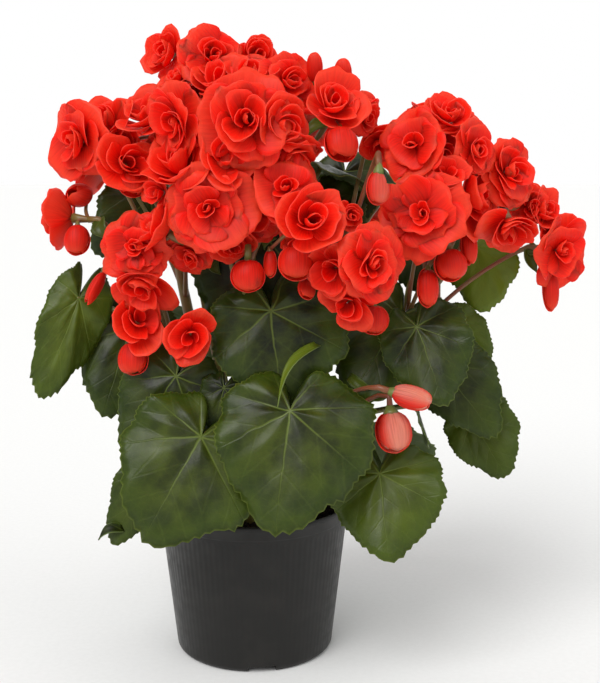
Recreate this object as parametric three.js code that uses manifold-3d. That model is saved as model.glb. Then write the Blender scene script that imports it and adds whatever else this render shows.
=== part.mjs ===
// A double-flowered begonia in a plastic nursery pot: millimetres, +Z up, front of the plant towards -Y.
import * as THREE from 'three';
import { mergeVertices } from 'three/addons/utils/BufferGeometryUtils.js';
import Module from 'manifold-3d';

const wasm = await Module();
wasm.setup();

// Pot and soil.
const rimRadius = 60;
const rimHeight = 94.5;
const bandHeight = 9;
const bandStep = 0.8;
const footRadius = 49;
const cornerRadius = 4;
const wallThickness = 1.3;
const floorBottom = 4;
const floorThickness = 1.4;
const footRingInner = 39;
const centrePadRadius = 14;
const potSides = 20;
const footNotches = 3;
const notchWidth = 17;
const notchTurn = 7;
const drainHoles = 6;
const drainRadius = 4;
const drainCircle = 27;
const soilLevel = 84;
const soilHeap = 3;
const touchGap = 0.3;

// Viewpoint that the front of the plant is laid out from: picture places become depth planes.
const pictureWidth = 600;
const pictureHeight = 683;
const focalLength = 1160;
const viewDistance = 700;
const viewHeight = 311.6;
const viewSide = 28.7;
const viewTilt = 9.6;

// Plant.
const canopyPicture = { x: 300, y: 215, halfWidth: 300, halfHeight: 230 };
const canopyDepth = 85;
const petalThickness = 0.8;
const squarePetal = { places: [0, 0.13, 0.87], reach: [0.34, 1, 1] };
const roundPetal = { places: [0, 0.14, 0.5, 0.86], reach: [0.34, 0.9, 1.06, 0.9] };
const roundFrom = 17;
const petalLap = 0.16;
const spanAllowance = 1.16;
const coreRadius = 3;
const coreDepth = 4;
const coreRise = 1.5;
const leafThickness = 1;
const stemSink = 26;
const stemRadius = 4.2;
const stemTopRadius = 3;
const petioleRadius = 1.7;
const peduncleRadius = 1.3;
const pedicelRadius = 1.1;
const longStalk = 70;
const trimGap = 0.2;
const sliver = 0.06;

// Leafy stems: foot on the soil and top inside the canopy.
const stems = {
  left: { foot: [-20, -8], top: [-52, -26, 216] },
  front: { foot: [-3, -22], top: [-6, -38, 236] },
  middle: { foot: [14, -14], top: [48, -34, 224] },
  right: { foot: [26, 2], top: [112, -10, 222] },
  upperLeft: { foot: [-22, 12], top: [-50, 4, 262] },
  crown: { foot: [2, 4], top: [6, -6, 272] },
  backRight: { foot: [16, 22], top: [52, 38, 225] },
  backLeft: { foot: [-8, 26], top: [-36, 42, 222] },
};

// Sprays of the front, each with its heads and its stem. A bloom has the place of its middle in the picture,
// its half span there, the direction that it looks in [to the right, up] in degrees, how much nearer than the
// canopy it stands, its form and its [outer, inner] petals; a bud has its half width and half length.
const open = { rise: 0.35, curl: 0.25, innerRise: 0.95, innerCurl: 0.4, innerLength: 0.62, width: 0.98 };
const half = { rise: 0.85, curl: 0.4, innerRise: 1.15, innerCurl: 0.4, innerLength: 0.8, width: 0.9 };
const frontSprays = [
  [
    { at: [163, 51], span: 27, look: [-50, 15], near: -4, form: open, petals: 4, layers: 1 },
    { at: [180, 82], span: 20, look: [-35, 55], near: 0, form: open, petals: 4, layers: 1 },
    'upperLeft',
  ],
  [{ at: [213, 53], span: 34, look: [8, 22], near: 6, form: open, petals: 5, layers: 2 }, 'crown'],
  [
    { at: [250, 78], span: 24, look: [-10, 45], near: 4, form: open, petals: 4, layers: 1 },
    { at: [257, 51], span: 18, look: [20, 15], near: 0, form: half, petals: 4, layers: 1 },
    'crown',
  ],
  [{ at: [289, 80], span: 28, look: [35, 15], near: 0, form: open, petals: 4, layers: 1 }, 'crown'],
  [{ at: [218, 86], span: 22, look: [-10, 40], near: 8, form: open, petals: 4, layers: 1 }, 'crown'],
  [{ at: [178, 121], span: 27, look: [-35, -5], near: 8, form: open, petals: 4, layers: 1 }, 'upperLeft'],
  [{ at: [246, 121], span: 34, look: [4, 2], near: 16, form: open, petals: 5, layers: 2 }, 'crown'],
  [
    { at: [285, 126], span: 23, look: [30, -10], near: 10, form: half, petals: 4, layers: 2 },
    { at: [290, 153], span: 24, look: [20, -50], near: -8, form: open, petals: 4, layers: 1 },
    'crown',
  ],
  [{ at: [180, 166], span: 26, look: [-20, 30], near: 2, form: open, petals: 4, layers: 1 }, 'upperLeft'],
  [{ at: [226, 161], span: 22, look: [10, 20], near: 8, form: half, petals: 4, layers: 2 }, 'front'],
  [{ at: [289, 185], span: 31, look: [4, 25], near: 4, form: open, petals: 5, layers: 2 }, 'front'],
  [
    { at: [311, 219], span: 33, look: [18, 15], near: 16, form: half, petals: 4, layers: 2 },
    { at: [296, 263], bud: [18, 18], look: [0, -70], near: 4 },
    { at: [307, 289], bud: [10, 11], look: [10, -60], near: -4 },
    'middle',
  ],
  [
    { at: [336, 94], span: 31, look: [20, 12], near: 0, form: open, petals: 5, layers: 2 },
    { at: [364, 113], span: 22, look: [45, -15], near: -14, form: open, petals: 4, layers: 1 },
    { at: [342, 144], bud: [18, 18], look: [10, -60], near: 0 },
    'crown',
  ],
  [{ at: [379, 143], span: 16, look: [10, -30], near: -30, form: half, petals: 4, layers: 1 }, 'middle'],
  [{ at: [207, 209], span: 43, look: [-4, 6], near: 16, form: open, petals: 5, layers: 2 }, 'front'],
  [{ at: [257, 214], span: 18, look: [5, -10], near: -14, form: open, petals: 4, layers: 1 }, 'front'],
  [
    { at: [104, 130], span: 25, look: [-15, 20], near: -4, form: open, petals: 4, layers: 2 },
    { at: [74, 137], span: 38, look: [-45, 0], near: 6, form: open, petals: 5, layers: 1 },
    'upperLeft',
  ],
  [{ at: [145, 113], span: 26, look: [-15, 15], near: 0, form: open, petals: 4, layers: 1 }, 'upperLeft'],
  [
    { at: [129, 163], span: 27, look: [25, 10], near: 4, form: half, petals: 4, layers: 2 },
    { at: [132, 184], bud: [15, 13], look: [0, -60], near: -4 },
    'left',
  ],
  [
    { at: [58, 214], span: 25, look: [-40, 25], near: -6, form: open, petals: 4, layers: 1 },
    { at: [79, 195], bud: [14, 13], look: [-30, 20], near: -14 },
    { at: [77, 240], bud: [13, 16], look: [0, -70], near: 0 },
    'left',
  ],
  [
    { at: [134, 248], span: 33, look: [-10, 4], near: 10, form: open, petals: 5, layers: 2 },
    { at: [158, 226], span: 25, look: [-35, 20], near: 0, form: open, petals: 4, layers: 1 },
    'left',
  ],
  [{ at: [143, 287], span: 28, look: [-4, -22], near: 8, form: half, petals: 4, layers: 2 }, 'left'],
  [
    { at: [140, 327], span: 22, look: [12, -12], near: 12, form: half, petals: 4, layers: 2 },
    { at: [133, 359], bud: [17, 17], look: [0, -75], near: 26 },
    'left',
  ],
  [{ at: [190, 338], span: 26, look: [0, -2], near: 14, form: half, petals: 5, layers: 2 }, 'front'],
  [{ at: [371, 262], span: 34, look: [22, 0], near: 22, form: open, petals: 5, layers: 2 }, 'middle'],
  [
    { at: [333, 270], span: 20, look: [-25, -15], near: 10, form: half, petals: 4, layers: 1 },
    { at: [346, 304], span: 21, look: [-10, -30], near: 12, form: half, petals: 4, layers: 1 },
    { at: [371, 324], bud: [14, 13], look: [0, -75], near: 6 },
    'middle',
  ],
  [{ at: [420, 214], span: 41, look: [-12, 6], near: 14, form: open, petals: 5, layers: 2 }, 'right'],
  [{ at: [410, 139], span: 29, look: [-22, 12], near: 6, form: open, petals: 4, layers: 2 }, 'right'],
  [
    { at: [450, 118], span: 26, look: [0, 35], near: -6, form: open, petals: 5, layers: 1 },
    { at: [479, 146], span: 25, look: [22, 5], near: 4, form: open, petals: 4, layers: 2 },
    'right',
  ],
  [
    { at: [475, 197], span: 26, look: [0, 0], near: -4, form: open, petals: 4, layers: 1 },
    { at: [444, 177], span: 17, look: [0, 35], near: 6, form: half, petals: 4, layers: 1 },
    'right',
  ],
  [
    { at: [511, 169], span: 35, look: [36, 8], near: 0, form: open, petals: 5, layers: 1 },
    { at: [546, 205], span: 21, look: [35, 25], near: -6, form: open, petals: 4, layers: 1 },
    'right',
  ],
  [{ at: [511, 226], span: 25, look: [-12, -12], near: 12, form: half, petals: 4, layers: 2 }, 'right'],
  [
    { at: [564, 249], span: 31, look: [34, -5], near: 6, form: open, petals: 5, layers: 1 },
    { at: [549, 291], bud: [11, 20], look: [10, -80], near: 0 },
    'right',
  ],
  [{ at: [95, 288], bud: [8, 19], look: [-50, -55], near: 4 }, 'left'],
  [{ at: [248, 276], bud: [17, 17], look: [0, -80], near: 4 }, 'front'],
  [{ at: [379, 188], bud: [13, 17], look: [0, -80], near: 16 }, 'middle'],
  [
    { at: [448, 267], bud: [18, 15], look: [20, -70], near: 4 },
    { at: [469, 247], bud: [10, 19], look: [10, -75], near: -2 },
    { at: [428, 288], bud: [12, 20], look: [0, -80], near: 2 },
    'right',
  ],
  [{ at: [410, 396], bud: [11, 20], look: [75, 0], near: 60, from: 0.5 }, 'middle'],
  [{ at: [394, 431], bud: [17, 19], look: [30, -75], near: 70, from: 0.42 }, 'middle'],
];

// Leaves of the front: stalk end and tip in the picture, depth of both, roll about the midrib, width.
const frontLeaves = [
  { at: [82, 292], tip: [40, 396], depth: [-18, -36], roll: -34, width: 0.8, steps: 18, stem: 'left' },
  { at: [138, 322], tip: [107, 408], depth: [-8, -26], roll: -10, width: 0.95, steps: 22, stem: 'left' },
  { at: [201, 437], tip: [140, 545], depth: [-74, -96], roll: -8, width: 1.12, steps: 22, stem: 'front' },
  { at: [291, 411], tip: [274, 534], depth: [-80, -104], roll: 0, width: 1.2, steps: 22, stem: 'front' },
  { at: [380, 468], tip: [398, 553], depth: [-62, -86], roll: 10, width: 1.18, steps: 22, stem: 'middle' },
  { at: [271, 311], tip: [282, 412], depth: [-58, -70], roll: 0, width: 1.18, steps: 22, stem: 'front' },
  { at: [398, 316], tip: [346, 390], depth: [-26, -50], roll: -10, width: 1, steps: 22, stem: 'middle' },
  { at: [417, 327], tip: [448, 404], depth: [-52, -74], roll: 8, width: 1.12, steps: 22, stem: 'right' },
  { at: [444, 362], tip: [500, 432], depth: [-22, -38], roll: 14, width: 0.86, steps: 22, stem: 'right' },
  { at: [466, 412], tip: [519, 477], depth: [-12, -26], roll: 22, width: 0.9, steps: 16, stem: 'right' },
  { at: [476, 246], tip: [486, 311], depth: [10, -2], roll: 10, width: 1.1, steps: 16, stem: 'right' },
  { at: [462, 316], tip: [495, 352], depth: [-4, -10], roll: 20, width: 0.9, steps: 16, stem: 'right' },
  { at: [322, 164], tip: [386, 186], depth: [-22, -8], roll: -60, width: 1, steps: 16, stem: 'crown' },
  { at: [345, 172], tip: [338, 232], depth: [14, 2], roll: 0, width: 1, steps: 16, stem: 'crown' },
  { at: [224, 388], tip: [212, 432], depth: [-56, -62], roll: 0, width: 1, steps: 16, stem: 'front' },
  { at: [146, 462], tip: [102, 541], depth: [-62, -72], roll: -12, width: 0.72, steps: 16, stem: 'left' },
  { at: [176, 376], tip: [128, 448], depth: [-52, -60], roll: -10, width: 1.05, steps: 16, stem: 'left' },
  { at: [150, 196], tip: [98, 250], depth: [16, 6], roll: -20, width: 1, steps: 16, stem: 'upperLeft' },
];

// The unseen back: heads and leaves spread by rule over the dome and the skirt behind it.
const backBloomCount = 9;
const backLeafCount = 7;
const dome = { x: 28, y: -4, z: 238, acrossX: 150, acrossY: 78, up: 118 };
const skirt = { x: 20, y: 0, reachX: 118, reachY: 92, low: 128, high: 196, length: 58 };

const upAxis = new THREE.Vector3(0, 0, 1);
const radians = THREE.MathUtils.degToRad;
const lerp = THREE.MathUtils.lerp;
const tiltCos = Math.cos(radians(viewTilt));
const tiltSin = Math.sin(radians(viewTilt));

function seeded(seed) {
  let state = seed;
  return () => {
    state = (state + 0x6d2b79f5) | 0;
    let mixed = Math.imul(state ^ (state >>> 15), 1 | state);
    mixed = (mixed + Math.imul(mixed ^ (mixed >>> 7), 61 | mixed)) ^ mixed;
    return ((mixed ^ (mixed >>> 14)) >>> 0) / 4294967296;
  };
}

// Point of the depth plane y that is seen at a place of the picture.
function placed([px, py], y) {
  const right = (px - pictureWidth / 2) / focalLength;
  const down = (pictureHeight / 2 - py) / focalLength;
  const along = (y + viewDistance) / (tiltCos + down * tiltSin);
  return new THREE.Vector3(viewSide + right * along, y, viewHeight + along * (down * tiltCos - tiltSin));
}

function canopyPlane([px, py]) {
  const across = (px - canopyPicture.x) / canopyPicture.halfWidth;
  const upward = (py - canopyPicture.y) / canopyPicture.halfHeight;
  return -canopyDepth * (1 - across * across - upward * upward);
}

function direction([right, up]) {
  const level = Math.cos(radians(up));
  return new THREE.Vector3(
    Math.sin(radians(right)) * level,
    -Math.cos(radians(right)) * level,
    Math.sin(radians(up)),
  );
}

// Solids.
function solidOf(geometry) {
  const bare = geometry.index ? geometry.clone() : geometry;
  bare.deleteAttribute('normal');
  bare.deleteAttribute('uv');
  const merged = mergeVertices(bare, 1e-4);
  return new wasm.Manifold(new wasm.Mesh({
    numProp: 3,
    vertProperties: new Float32Array(merged.attributes.position.array),
    triVerts: new Uint32Array(merged.index.array),
  }));
}

function largestBody(solid) {
  const bodies = solid.decompose();
  return bodies.reduce((best, body) => (body.volume() > best.volume() ? body : best));
}

function unionOf(solids) {
  return wasm.Manifold.union(solids);
}

function boxesMeet(a, b) {
  return a.min.every((low, axis) => low < b.max[axis] && b.min[axis] < a.max[axis]);
}

function without(solid, cutters) {
  const box = solid.boundingBox();
  const near = cutters.filter((cutter) => boxesMeet(box, cutter.boundingBox()));
  return near.length ? largestBody(solid.subtract(unionOf(near))) : solid;
}

function moved(geometry, move) {
  const position = geometry.attributes.position;
  const point = new THREE.Vector3();
  for (let i = 0; i < position.count; i += 1) {
    point.fromBufferAttribute(position, i);
    move(point);
    position.setXYZ(i, point.x, point.y, point.z);
  }
  return geometry;
}

function stood(geometry, origin, facing, spin) {
  const turn = new THREE.Quaternion().setFromUnitVectors(upAxis, facing);
  geometry.rotateZ(spin);
  geometry.applyQuaternion(turn);
  return geometry.translate(origin.x, origin.y, origin.z);
}

// A tapering round stalk along a smooth curve through the given points.
function stalk(points, startRadius, endRadius, sides, steps) {
  const curve = new THREE.CatmullRomCurve3(points, false, 'centripetal');
  const frames = curve.computeFrenetFrames(steps, false);
  const geometry = new THREE.CylinderGeometry(endRadius, startRadius, 1, sides, steps);
  moved(geometry, (point) => {
    const along = Math.min(Math.max(point.y + 0.5, 0), 1);
    const ring = Math.round(along * steps);
    const centre = curve.getPointAt(ring / steps);
    centre.addScaledVector(frames.normals[ring], point.x);
    centre.addScaledVector(frames.binormals[ring], -point.z);
    point.copy(centre);
  });
  return solidOf(geometry);
}

function route(points, startRadius, endRadius, sides, steps) {
  return {
    solid: stalk(points, startRadius, endRadius, sides, steps),
    clear: stalk(points, startRadius + touchGap, endRadius + touchGap, sides, steps),
  };
}

// Pot: a turned shell with a banded rim, a foot ring with notches, and drain holes.
function turned(profile) {
  return new THREE.LatheGeometry(profile.map(([r, z]) => new THREE.Vector2(r, z)), potSides)
    .rotateX(Math.PI / 2);
}

function wallRadius(z) {
  return lerp(footRadius, rimRadius - bandStep, (z - cornerRadius) / (rimHeight - cornerRadius));
}

function flipped(geometry) {
  const index = geometry.index.array;
  for (let i = 0; i < index.length; i += 3) {
    [index[i], index[i + 1]] = [index[i + 1], index[i]];
  }
  return geometry;
}

function outward(geometry) {
  const solid = solidOf(geometry);
  return solid.volume() > 0 ? solid : solidOf(flipped(geometry));
}

function pot() {
  const bandFoot = rimHeight - bandHeight;
  const floorTop = floorBottom + floorThickness;
  const shell = outward(turned([
    [0, 0],
    [centrePadRadius, 0],
    [centrePadRadius + 2, floorBottom],
    [footRingInner, floorBottom],
    [footRingInner + 1, 0],
    [footRadius - cornerRadius + 0.5, 0],
    [footRadius - 1, 1.5],
    [footRadius, cornerRadius],
    [wallRadius(bandFoot), bandFoot],
    [wallRadius(bandFoot) + bandStep, bandFoot + bandStep],
    [rimRadius, rimHeight - 1],
    [rimRadius - 0.5, rimHeight],
    [rimRadius - 1.7, rimHeight],
    [rimRadius - bandStep - 2, bandFoot],
    [footRadius - wallThickness, floorTop + 1],
    [footRadius - wallThickness - 1, floorTop],
    [0, floorTop],
  ]));
  const cuts = [];
  for (let i = 0; i < footNotches; i += 1) {
    const notch = new THREE.BoxGeometry(18, notchWidth, floorBottom * 2);
    notch.translate(footRadius - 3, 0, 0);
    notch.rotateZ(radians(-90 + notchTurn) + (i * 2 * Math.PI) / footNotches);
    cuts.push(solidOf(notch));
  }
  for (let i = 0; i < drainHoles; i += 1) {
    const hole = new THREE.CylinderGeometry(drainRadius, drainRadius, 12, 6);
    hole.rotateX(Math.PI / 2);
    hole.translate(drainCircle, 0, floorBottom);
    hole.rotateZ(((i + 0.5) * 2 * Math.PI) / drainHoles);
    cuts.push(solidOf(hole));
  }
  return largestBody(shell.subtract(unionOf(cuts)));
}

function soil(stemCutters) {
  const floor = floorBottom + floorThickness + touchGap;
  const foot = footRadius - wallThickness - touchGap - 1;
  const top = wallRadius(soilLevel) - wallThickness - touchGap - 0.7;
  const heap = turned([
    [0, floor],
    [foot - 1, floor],
    [foot, floor + 2],
    [top, soilLevel - 2],
    [top - 2, soilLevel],
    [top * 0.6, soilLevel + soilHeap * 0.6],
    [0, soilLevel + soilHeap],
  ]);
  const body = outward(heap);
  return largestBody(body.subtract(unionOf(stemCutters)));
}

// Whorl: petals that part at deep notches, each a thin blade that rises and curls out of the core.
function bladePoint(whorl, along, side) {
  const { length, rise, curl, root, lift } = whorl;
  const angle = rise + curl * along;
  return [
    root + (length * (Math.sin(angle) - Math.sin(rise))) / curl - Math.sin(angle) * side,
    lift + (length * (Math.cos(rise) - Math.cos(angle))) / curl + Math.cos(angle) * side,
  ];
}

function reachFactor(rise, curl) {
  return (Math.sin(rise + curl) - Math.sin(rise)) / curl;
}

function headFrame({ at, span, look, near }) {
  const depth = canopyPlane(at) - near;
  const centre = placed(at, depth);
  const reach = (spanAllowance * span * (depth + viewDistance)) / focalLength;
  return { centre, reach, facing: direction(look) };
}

// How far out the edge of a whorl lies at one step of the turn: a notch, then the rim of a petal.
function petalEdge(step, shift, lengths, cut) {
  const steps = cut.places.length;
  const turn = (step + shift) % (lengths.length * steps);
  const edge = turn % steps;
  return edge ? cut.reach[edge] * lengths[Math.floor(turn / steps)] : cut.reach[0];
}

function bloomHead(row, random) {
  const frame = row.centre ? row : { ...row, ...headFrame(row) };
  const { form, facing, reach, petals, layers } = frame;
  const length = (reach - coreRadius) / reachFactor(form.rise, form.curl);
  const outer = { length, rise: form.rise, curl: form.curl, root: coreRadius, lift: 0 };
  const inner = {
    length: length * form.innerLength,
    rise: form.innerRise,
    curl: form.innerCurl,
    root: coreRadius * 0.8,
    lift: coreRise,
  };
  const cut = reach > roundFrom ? roundPetal : squarePetal;
  const stepsPerPetal = cut.places.length;
  const lengths = Array.from({ length: petals }, () => lerp(0.88, 1.04, random()));
  const tilts = lengths.map((_, i) => (i % 2 ? petalLap : 0));
  const blade = petalThickness / 2;
  const core = (radius, height) => () => [radius, height];
  const outerEdge = (side) => (step) => {
    const along = petalEdge(step, 0, lengths, cut);
    const tilt = tilts[Math.floor(step / stepsPerPetal) % petals];
    return bladePoint({ ...outer, rise: outer.rise + tilt }, along, side);
  };
  const innerEdge = (side) => (step) => bladePoint(inner, petalEdge(step, 2, lengths, cut), side);
  const rings = [
    core(0, -coreDepth),
    core(coreRadius * 0.7, -coreDepth),
    core(coreRadius, -blade - 0.2),
    outerEdge(-blade),
    outerEdge(blade),
  ];
  if (layers > 1) {
    rings.push(core(coreRadius, blade + 0.2), innerEdge(-blade), innerEdge(blade));
  }
  rings.push(core(0, coreRise));
  const steps = petals * stepsPerPetal;
  const profile = rings.map((_, i) => new THREE.Vector2(i && i < rings.length - 1 ? 1 : 0, i));
  const head = new THREE.LatheGeometry(profile, steps);
  moved(head, (point) => {
    const turned = Math.atan2(point.x, point.z) / (2 * Math.PI);
    const step = Math.round(turned * steps + steps) % steps;
    const [radius, height] = rings[Math.round(point.y)](step);
    const place = Math.floor(step / stepsPerPetal) + cut.places[step % stepsPerPetal];
    const around = (place * 2 * Math.PI) / petals;
    point.set(Math.cos(around) * radius, Math.sin(around) * radius, height);
  });
  const height = length * Math.sin(form.rise + form.curl / 2);
  const origin = frame.centre.clone().addScaledVector(facing, -0.5 * height);
  return {
    solid: outward(stood(head, origin, facing, random() * 2 * Math.PI)),
    centre: frame.centre,
    reach,
    facing,
    heart: origin,
    seat: origin.clone().addScaledVector(facing, -coreDepth - touchGap),
  };
}

// Bud: a plump pair of valves pressed flat on each other.
function budHead(row) {
  const depth = canopyPlane(row.at) - row.near;
  const centre = placed(row.at, depth);
  const scale = (depth + viewDistance) / focalLength;
  const [wide, long] = row.bud.map((size) => size * scale);
  const facing = direction(row.look);
  const ball = new THREE.SphereGeometry(1, 6, 4);
  ball.rotateX(Math.PI / 2);
  ball.scale(wide, wide * 0.72, long);
  return {
    solid: solidOf(stood(ball, centre, facing, 0)),
    centre,
    reach: Math.max(wide, long),
    from: row.from,
    facing,
    heart: centre.clone().addScaledVector(facing, -long * 0.6),
    seat: centre.clone().addScaledVector(facing, -long - touchGap),
  };
}

// The red stalk that carries a further head of a spray from the first one.
function link(from, to) {
  const middle = from.heart.clone().lerp(to.heart, 0.5);
  middle.addScaledVector(from.facing, -3).addScaledVector(to.facing, -3);
  return stalk([from.heart, middle, to.heart], pedicelRadius, pedicelRadius, 3, 2);
}

// Heads that press on each other are cut flat between their middles.
function trimmed(head, others) {
  let solid = head.solid;
  for (const other of others) {
    const apart = other.centre.clone().sub(head.centre);
    const distance = apart.length();
    if (distance < head.reach + other.reach && head.solid.intersect(other.solid).volume() > 0) {
      apart.normalize();
      const share = distance * (head.reach / (head.reach + other.reach)) - trimGap;
      const offset = apart.dot(head.centre) + share;
      solid = solid.trimByPlane([-apart.x, -apart.y, -apart.z], -offset);
    }
  }
  return solid;
}

// Leaf: a lopsided heart outline with a toothed edge, bent down towards the edge and the tip.
function leafOutline(around, teeth) {
  const tip = Math.exp(-((around / 0.42) ** 2));
  const sinus = Math.exp(-(((Math.PI - Math.abs(around)) / 0.24) ** 2));
  const heart = 0.55 + 0.14 * Math.cos(around) + 0.31 * tip;
  const lopsided = 1 + 0.1 * Math.sin(around);
  const tooth = 1 + 0.045 * Math.cos(teeth * around);
  return heart * lopsided * tooth * (1 - 0.86 * sinus);
}

function leafFrame({ stalkEnd, tip, roll }) {
  const along = tip.clone().sub(stalkEnd);
  const length = along.length();
  along.normalize();
  const toLight = new THREE.Vector3(0, -0.86, 0.5);
  if (stalkEnd.y > 25) {
    toLight.set(stalkEnd.x * 0.004, 0.8, 0.6);
  }
  const across = new THREE.Vector3().crossVectors(toLight, along).normalize();
  const normal = new THREE.Vector3().crossVectors(along, across);
  across.applyAxisAngle(along, radians(roll));
  normal.applyAxisAngle(along, radians(roll));
  return { along, across, normal, length };
}

function leafPoint(row, frame, spread, around, side) {
  const { along, across, normal, length } = frame;
  const radius = spread * leafOutline(around, row.steps / 2) * length;
  const bend = spread * spread * Math.hypot(Math.cos(around), 0.8);
  const wave = 0.05 * Math.sin(5 * around + row.seed * 2.1) * spread * spread;
  const point = row.stalkEnd.clone();
  point.addScaledVector(along, Math.cos(around) * radius);
  point.addScaledVector(across, Math.sin(around) * radius * row.width);
  return point.addScaledVector(normal, length * (wave - row.droop * bend) + side);
}

function firstRing(row) {
  return row.steps > 18 ? 0.56 : 1;
}

function leafBlade(row, thickness, grow) {
  const frame = leafFrame(row);
  frame.length *= grow;
  const bottom = [[0, -0.5], [firstRing(row), -0.5], [1, -0.5]].slice(0, row.steps > 18 ? 3 : 2);
  const rings = bottom.concat(bottom.map(([r, side]) => [r, -side]).reverse());
  const disc = new THREE.LatheGeometry(rings.map(([r, side]) => new THREE.Vector2(r, side)), row.steps);
  moved(disc, (point) => {
    const around = Math.atan2(point.x, point.z);
    point.copy(leafPoint(row, frame, Math.hypot(point.x, point.z), around, point.y * thickness));
  });
  return outward(disc);
}

function leaf(row) {
  return {
    solid: leafBlade(row, leafThickness, 1),
    clear: leafBlade(row, leafThickness + 2 * touchGap, 1.012),
    row,
  };
}

// Points behind the viewer's side of the dome and of the leafy skirt.
function backHeads(random) {
  const heads = [];
  for (let i = 0; i < backBloomCount; i += 1) {
    const around = radians(lerp(12, 168, (i + 0.5) / backBloomCount));
    const rise = radians([18, 48, 32][i % 3]);
    const outwards = new THREE.Vector3(
      Math.cos(around) * Math.cos(rise),
      Math.sin(around) * Math.cos(rise),
      Math.sin(rise),
    );
    const centre = new THREE.Vector3(
      dome.x + outwards.x * dome.acrossX,
      dome.y + outwards.y * dome.acrossY,
      dome.z + outwards.z * dome.up,
    );
    heads.push([{
      centre,
      reach: lerp(19, 23, random()),
      facing: outwards.clone().setZ(outwards.z + 0.1).normalize(),
      form: i % 4 === 3 ? half : open,
      petals: 5, layers: 1,
    }, nearestStem(centre)]);
  }
  return heads;
}

function backLeaves(random) {
  const leaves = [];
  for (let i = 0; i < backLeafCount; i += 1) {
    const high = i % 2;
    const around = radians(lerp(high ? 12 : 32, high ? 160 : 146, (i + 0.5) / backLeafCount));
    const level = high ? skirt.high : skirt.low;
    const reach = high ? 0.72 : 0.68;
    const stalkEnd = new THREE.Vector3(
      skirt.x + Math.cos(around) * skirt.reachX * reach,
      skirt.y + Math.sin(around) * skirt.reachY * reach,
      level,
    );
    const out = new THREE.Vector3(Math.cos(around), Math.sin(around), -0.95).normalize();
    leaves.push({
      stalkEnd,
      tip: stalkEnd.clone().addScaledVector(out, skirt.length * lerp(0.85, 1.05, random())),
      roll: lerp(-8, 8, random()),
      width: 1.05,
      droop: 0.14,
      steps: 14,
      seed: i,
      stem: nearestStem(stalkEnd),
    });
  }
  return leaves;
}

function nearestStem(point) {
  const names = Object.keys(stems).filter((name) => !['front', 'middle'].includes(name));
  const gap = (name) => new THREE.Vector3(...stems[name].top).distanceTo(point);
  return names.reduce((best, name) => (gap(name) < gap(best) ? name : best));
}

function stemCurve({ foot, top }) {
  const start = new THREE.Vector3(foot[0], foot[1], soilLevel - stemSink);
  const collar = new THREE.Vector3(foot[0], foot[1], soilLevel + 6);
  const end = new THREE.Vector3(...top);
  const middle = collar.clone().lerp(end, 0.5);
  middle.x = lerp(foot[0], top[0], 0.42);
  middle.y = lerp(foot[1], top[1], 0.42);
  return [start, collar, middle, end];
}

// One flower stalk for each spray, the lowest sprays from the lowest places of the stem.
function flowerStalks(path, heads) {
  const curve = new THREE.CatmullRomCurve3(path, false, 'centripetal');
  const sorted = [...heads].sort((a, b) => a.seat.z - b.seat.z);
  return sorted.map((head, i) => {
    const start = curve.getPointAt(head.from ?? lerp(0.72, 0.99, (i + 1) / sorted.length));
    const distance = start.distanceTo(head.seat);
    const bow = start.clone().lerp(head.seat, 0.5);
    bow.z += 0.1 * distance;
    const before = head.seat.clone().addScaledVector(head.facing, -Math.min(9, 0.3 * distance));
    const steps = distance > longStalk ? 3 : 2;
    return route([start, bow, before, head.seat], peduncleRadius, pedicelRadius, 3, steps);
  });
}

// A leaf stalk arrives at the back of its blade, square to it.
function petiole(path, row) {
  const curve = new THREE.CatmullRomCurve3(path, false, 'centripetal');
  const frame = leafFrame(row);
  const stemTop = path[path.length - 1].z;
  const rise = (Math.min(row.stalkEnd.z - 12, stemTop) - soilLevel) / (stemTop - soilLevel);
  const start = curve.getPointAt(THREE.MathUtils.clamp(0.24 + 0.72 * rise, 0.26, 0.95));
  const ring = leafPoint(row, frame, firstRing(row), 0.15, 0);
  const seat = row.stalkEnd.clone().lerp(ring, 0.24 / firstRing(row));
  const behind = seat.clone().addScaledVector(frame.normal, -7);
  const bow = start.clone().lerp(behind, 0.6);
  bow.z += 0.1 * start.distanceTo(seat);
  return route([start, bow, behind, seat], petioleRadius, petioleRadius * 0.75, 3, 3);
}

function material(colour, roughness) {
  return new THREE.MeshStandardMaterial({ color: colour, roughness, metalness: 0 });
}

function meshOf(name, solid, look) {
  const made = largestBody(solid.asOriginal().simplify(sliver)).getMesh();
  const geometry = new THREE.BufferGeometry();
  geometry.setAttribute('position', new THREE.Float32BufferAttribute(made.vertProperties, 3));
  geometry.setIndex(Array.from(made.triVerts));
  const mesh = new THREE.Mesh(geometry, look);
  mesh.name = name;
  return mesh;
}

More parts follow.
